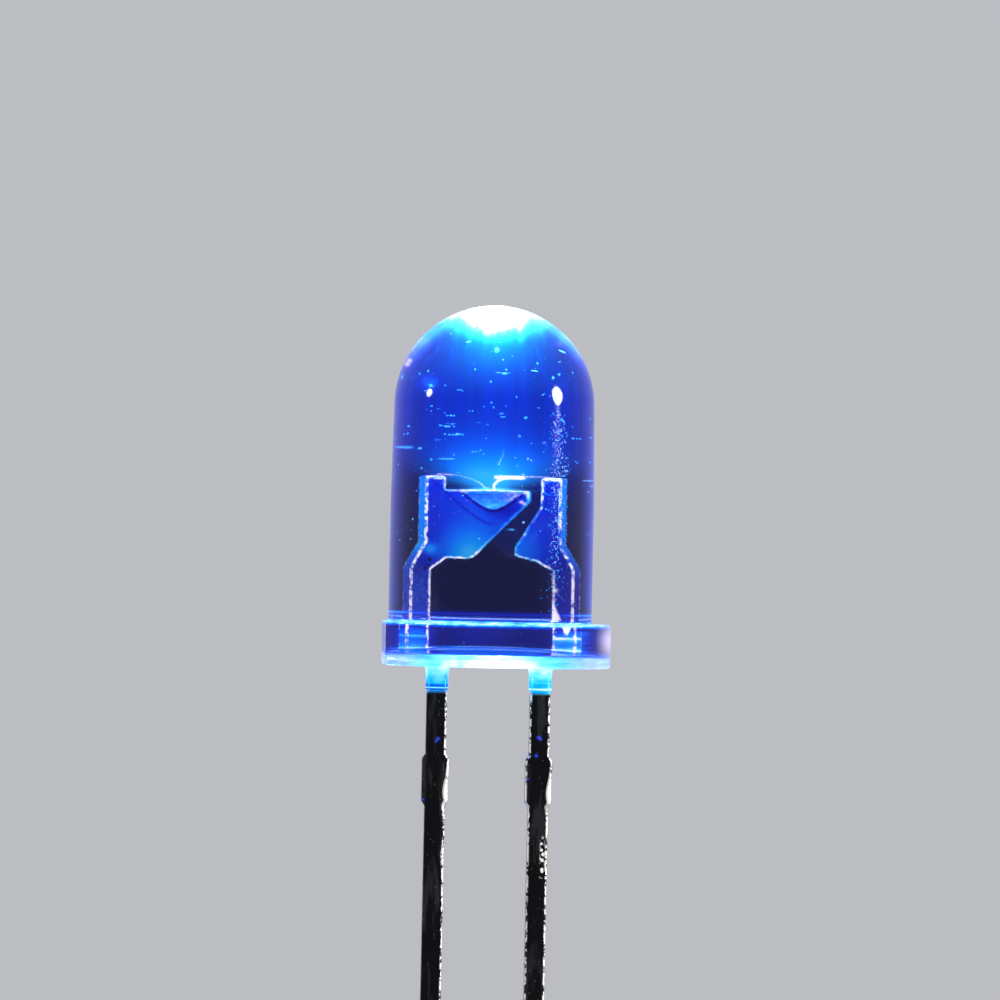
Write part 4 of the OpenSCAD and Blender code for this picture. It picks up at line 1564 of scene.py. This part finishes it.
def make_gold(name, reach, gain, strength):
    """Gold with the chip's light painted on it. reach and gain say how far that light carries."""
    material, tree, shader = new_material(name, {"Metallic": 1.0, "Emission Strength": strength})
    drawn = use_group(tree, uneven, {"Per mm": 30.0, "Stretch": (1, 1, 1), "Low": 0.18, "High": 0.3})
    shade = mix_colour(tree, drawn.outputs["Height"], (0.95, 0.68, 0.25), (1.0, 0.82, 0.42))
    tree.links.new(shade, shader.inputs["Base Color"])
    tree.links.new(drawn.outputs["Value"], shader.inputs["Roughness"])
    glow = use_group(tree, chip_light, {"Reach": reach, "Gain": gain})
    tree.links.new(glow.outputs["Colour"], shader.inputs["Emission Color"])
    return material


def make_lit_stack(name, dim, bright, strength):
    """A layer of the chip that gives off light, patchy between two colours."""
    values = {"Roughness": 0.2, "IOR": SAPPHIRE_IOR, "Emission Strength": strength}
    material, tree, shader = new_material(name, values)
    patches = use_group(tree, uneven, {"Per mm": 12.0, "Stretch": (1, 1, 1), "Low": 0.0, "High": 1.0})
    glow = mix_colour(tree, patches.outputs["Value"], dim, bright)
    tree.links.new(glow, shader.inputs["Emission Color"])
    tree.links.new(glow, shader.inputs["Base Color"])
    return material


def make_glue():
    """Clear glue, with the chip's light painted on it close to the chip."""
    material, tree, shader = new_material("clear glue", {"IOR": GLUE_IOR, "Emission Strength": 5.0})
    ripple = use_group(tree, uneven, {"Per mm": 9.0, "Stretch": (1, 1, 1), "Low": 0.1, "High": 0.35})
    tree.links.new(ripple.outputs["Value"], shader.inputs["Roughness"])
    shade = mix_colour(tree, ripple.outputs["Height"], (0.6, 0.72, 0.85), (0.85, 0.92, 1.0))
    tree.links.new(shade, shader.inputs["Base Color"])
    glow = use_group(tree, chip_light, {"Reach": 0.5, "Gain": 0.9})
    tree.links.new(glow.outputs["Colour"], shader.inputs["Emission Color"])
    return material


sapphire = make_lit_stack("lit sapphire", (0.0, 0.1, 0.9), (0.05, 0.45, 1.0), 6.0)
stack = make_lit_stack("glowing stack", (0.02, 0.3, 1.0), (0.1, 0.6, 1.0), 40.0)
dress(chip, sapphire, stack, make_gold("pad gold", 0.6, 0.4, 8.0))
dress(glue, make_glue())
# The two wires are the same gold with different amounts of the chip's painted light.
dress(cathode_wire, make_gold("gold in faint painted light", 1.1, 0.8, 8.0))
dress(anode_wire, make_gold("gold in strong painted light", 0.35, 3.5, 12.0))
print("chip finishes:", ", ".join(slot.name for slot in chip.material_slots))

# %% [markdown]
# The specks take two finishes. Those in the lens have the chip's light painted on them, and it
# carries further on them than on metal, because they scatter it every way. The dust by the wall is
# pale and has a faint painted glow for the light that runs down inside the resin. Its colour and
# its painted glow darken towards the flange.

# %% Materials: specks in the resin
def make_speck_finish():
    """Bubbles, flakes and the fibre, with the chip's light painted on them."""
    material, tree, shader = new_material("lit speck", {"Roughness": 0.4, "Emission Strength": 8.0})
    grain = use_group(tree, uneven, {"Per mm": 20.0, "Stretch": (1, 1, 1), "Low": 0.2, "High": 0.6})
    shade = mix_colour(tree, grain.outputs["Value"], (0.1, 0.5, 0.9), (0.5, 0.85, 1.0))
    tree.links.new(shade, shader.inputs["Base Color"])
    glow = use_group(tree, chip_light, {"Reach": 7.0, "Gain": 1.05})
    tree.links.new(glow.outputs["Colour"], shader.inputs["Emission Color"])
    return material


def make_dust():
    """The trail of dust, its colour and painted glow dark low down and pale further up."""
    values = {"Roughness": 0.6, "Emission Strength": 8.0}
    material, tree, shader = new_material("dust by the wall", values)
    grain = use_group(tree, uneven, {"Per mm": 6.0, "Stretch": (1, 1, 1), "Low": 0.0, "High": 1.0})
    shade = mix_colour(tree, grain.outputs["Value"], (0.1, 0.12, 0.15), (0.75, 0.7, 0.45))
    height = add_node(tree, "ShaderNodeSeparateXYZ", {0: place_in_mm(tree)}).outputs["Z"]
    shade = mix_colour(tree, fade(tree, height, 1.6, 3.2), (0.01, 0.015, 0.04), shade)
    tree.links.new(shade, shader.inputs["Base Color"])
    tree.links.new(shade, shader.inputs["Emission Color"])
    return material


speck_finish = make_speck_finish()
dress(specks, speck_finish, make_dust())
dress(fibre, speck_finish)

# %% [markdown]
# ## The studio
# The floor is a large pale disc under the tips of the leads. Near the part it is lit and takes a
# shadow. Further out it fades into the colour of the backdrop, so there is no horizon behind the
# part. The backdrop is the world's colour. The camera, mirrors and glass see that colour, and plain
# white lights everything else, so the look of the backdrop and the light can be set apart.

# %% Floor and backdrop
PALE = (0.5, 0.51, 0.54)
STUDIO_R = 1.2  # metres
STUDIO_RINGS, STUDIO_SIDES = 24, 96
FLOOR_TONE = (0.4, 0.408, 0.432)
FADE_FROM, FADE_TO = 0.05, 0.2  # metres from the part
AMBIENT = 0.6


def make_floor():
    """A disc of paper under the tips of the leads. It belongs to the picture, not to the part."""
    floor_z = cad_box[0].z
    rings = [(STUDIO_R * k / STUDIO_RINGS, floor_z) for k in range(STUDIO_RINGS + 1)]
    disc = turned("studio_floor", rings, STUDIO_SIDES)
    values = {"Roughness": 0.9, "Base Color": (*FLOOR_TONE, 1)}
    material, tree, shader = new_material("pale floor", values)
    place = add_node(tree, "ShaderNodeTexCoord").outputs["Object"]
    grain = add_node(tree, "ShaderNodeTexNoise", {"Vector": place, "Scale": 900.0, "Detail": 3.0})
    bump = add_node(tree, "ShaderNodeBump", {
        "Height": grain.outputs["Fac"], "Strength": 0.1, "Distance": 0.05 * MM})
    tree.links.new(bump.outputs["Normal"], shader.inputs["Normal"])
    length = add_node(tree, "ShaderNodeVectorMath", {0: place}, operation="LENGTH").outputs["Value"]
    far = fade(tree, length, FADE_FROM, FADE_TO)
    backdrop = add_node(tree, "ShaderNodeEmission", {"Color": (*PALE, 1), "Strength": 1.0})
    both = add_node(tree, "ShaderNodeMixShader", {0: far})
    tree.links.new(shader.outputs[0], both.inputs[1])
    tree.links.new(backdrop.outputs[0], both.inputs[2])
    tree.links.new(both.outputs[0], tree.nodes["Material Output"].inputs["Surface"])
    dress(disc, material)
    disc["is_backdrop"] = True


def make_backdrop():
    """The world: a pale colour to look at, and plain white to light the part."""
    world = bpy.data.worlds.new("pale studio")
    world.use_nodes = True
    tree = world.node_tree
    seen = add_node(tree, "ShaderNodeBackground", {"Color": (*PALE, 1), "Strength": 1.0})
    light = tree.nodes["Background"]
    light.inputs["Color"].default_value = (1, 1, 1, 1)
    light.inputs["Strength"].default_value = AMBIENT
    path = add_node(tree, "ShaderNodeLightPath")
    either = total(tree, path.outputs["Is Camera Ray"], path.outputs["Is Glossy Ray"])
    either = math_step(tree, "ADD", either, path.outputs["Is Transmission Ray"], clamp=True)
    both = add_node(tree, "ShaderNodeMixShader", {0: either})
    tree.links.new(light.outputs[0], both.inputs[1])
    tree.links.new(seen.outputs[0], both.inputs[2])
    tree.links.new(both.outputs[0], tree.nodes["World Output"].inputs["Surface"])
    scene.world = world


make_floor()
make_backdrop()
print("floor at", round(cad_box[0].z / MM, 2), "mm")

# %% [markdown]
# ## The lamps
# A wide soft lamp above and a little behind lights the floor and the tops, and is hidden from
# mirror reflections. A small lamp on the left and a larger one on the right stand about ten degrees
# above the level of the dome's middle. They draw the two small highlights on the shoulders of the
# dome and the bright line down the edge of each lead. No lamp shows to the camera.

# %% Lamps
def soft_lamp(name, direction, distance, width, height, radiance):
    """An oval lamp that faces the dome; radiance is how bright its face looks. Sizes are in metres."""
    data = bpy.data.lights.new(name, "AREA")
    data.shape = "ELLIPSE"
    data.size, data.size_y = width, height
    data.energy = radiance * math.pi * width * height
    lamp = bpy.data.objects.new(name, data)
    scene.collection.objects.link(lamp)
    aim = Vector((0, 0, dome_z))
    way = Vector(direction).normalized()
    lamp.location = aim + way * distance
    lamp.rotation_mode = "QUATERNION"
    lamp.rotation_quaternion = way.to_track_quat("Z", "Y")
    lamp.visible_camera = False
    return lamp


lamps = [
    soft_lamp("top_lamp", (-0.1, 0.5, 0.87), 0.6, 0.45, 0.45, 1.6),
    soft_lamp("left_lamp", (-0.98, -0.095, 0.176), 0.4, 0.055, 0.045, 50.0),
    soft_lamp("right_lamp", (0.955, -0.238, 0.176), 0.4, 0.1, 0.11, 50.0),
]
lamps[0].visible_glossy = False
for lamp in lamps:
    print(lamp.name, "at", [round(v, 3) for v in lamp.location])

# %% [markdown]
# ## The camera
# A long lens from a quarter of a metre away keeps the leads parallel. The camera stands level with
# the middle of the lens, a few degrees round to the cathode's side, and is turned by about one
# degree, so the part leans a little in the picture.

# %% Camera
VIEW_TURN = -2.5  # degrees
VIEW_ROLL = 1.2
VIEW_DISTANCE = 0.25  # metres
SENSOR_WIDTH = 36  # millimetres
VIEW_WIDTH = 24.57 * MM
VIEW_MIDDLE = Vector((0.187, 0, 4.09)) * MM


def make_camera():
    """The camera, with a lens that takes in VIEW_WIDTH at the part."""
    data = bpy.data.cameras.new("long_lens")
    data.sensor_width = SENSOR_WIDTH
    data.lens = data.sensor_width * VIEW_DISTANCE / VIEW_WIDTH
    data.clip_start, data.clip_end = 0.01, 5
    camera = bpy.data.objects.new("long_lens", data)
    scene.collection.objects.link(camera)
    turn = math.radians(VIEW_TURN)
    back = Vector((math.sin(turn), -math.cos(turn), 0))
    look = (-back).to_track_quat("-Z", "Y").to_matrix().to_4x4()
    roll = Matrix.Rotation(math.radians(VIEW_ROLL), 4, "Z")
    camera.matrix_world = Matrix.Translation(VIEW_MIDDLE + back * VIEW_DISTANCE) @ look @ roll
    scene.camera = camera


make_camera()
scene.view_settings.view_transform = "Standard"
print("camera:", round(scene.camera.data.lens), "mm lens")

# %% [markdown]
# ## Both boxes
# The visual pieces stay inside the measured part's box. Both boxes are printed, so that they can be
# compared.

# %% Write the sizes and finish
visual_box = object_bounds()
boxes = {"cad": [list(corner) for corner in cad_box], "visual": [list(corner) for corner in visual_box]}
for name, corners in boxes.items():
    print(name, [[round(v / MM, 3) for v in corner] for corner in corners])
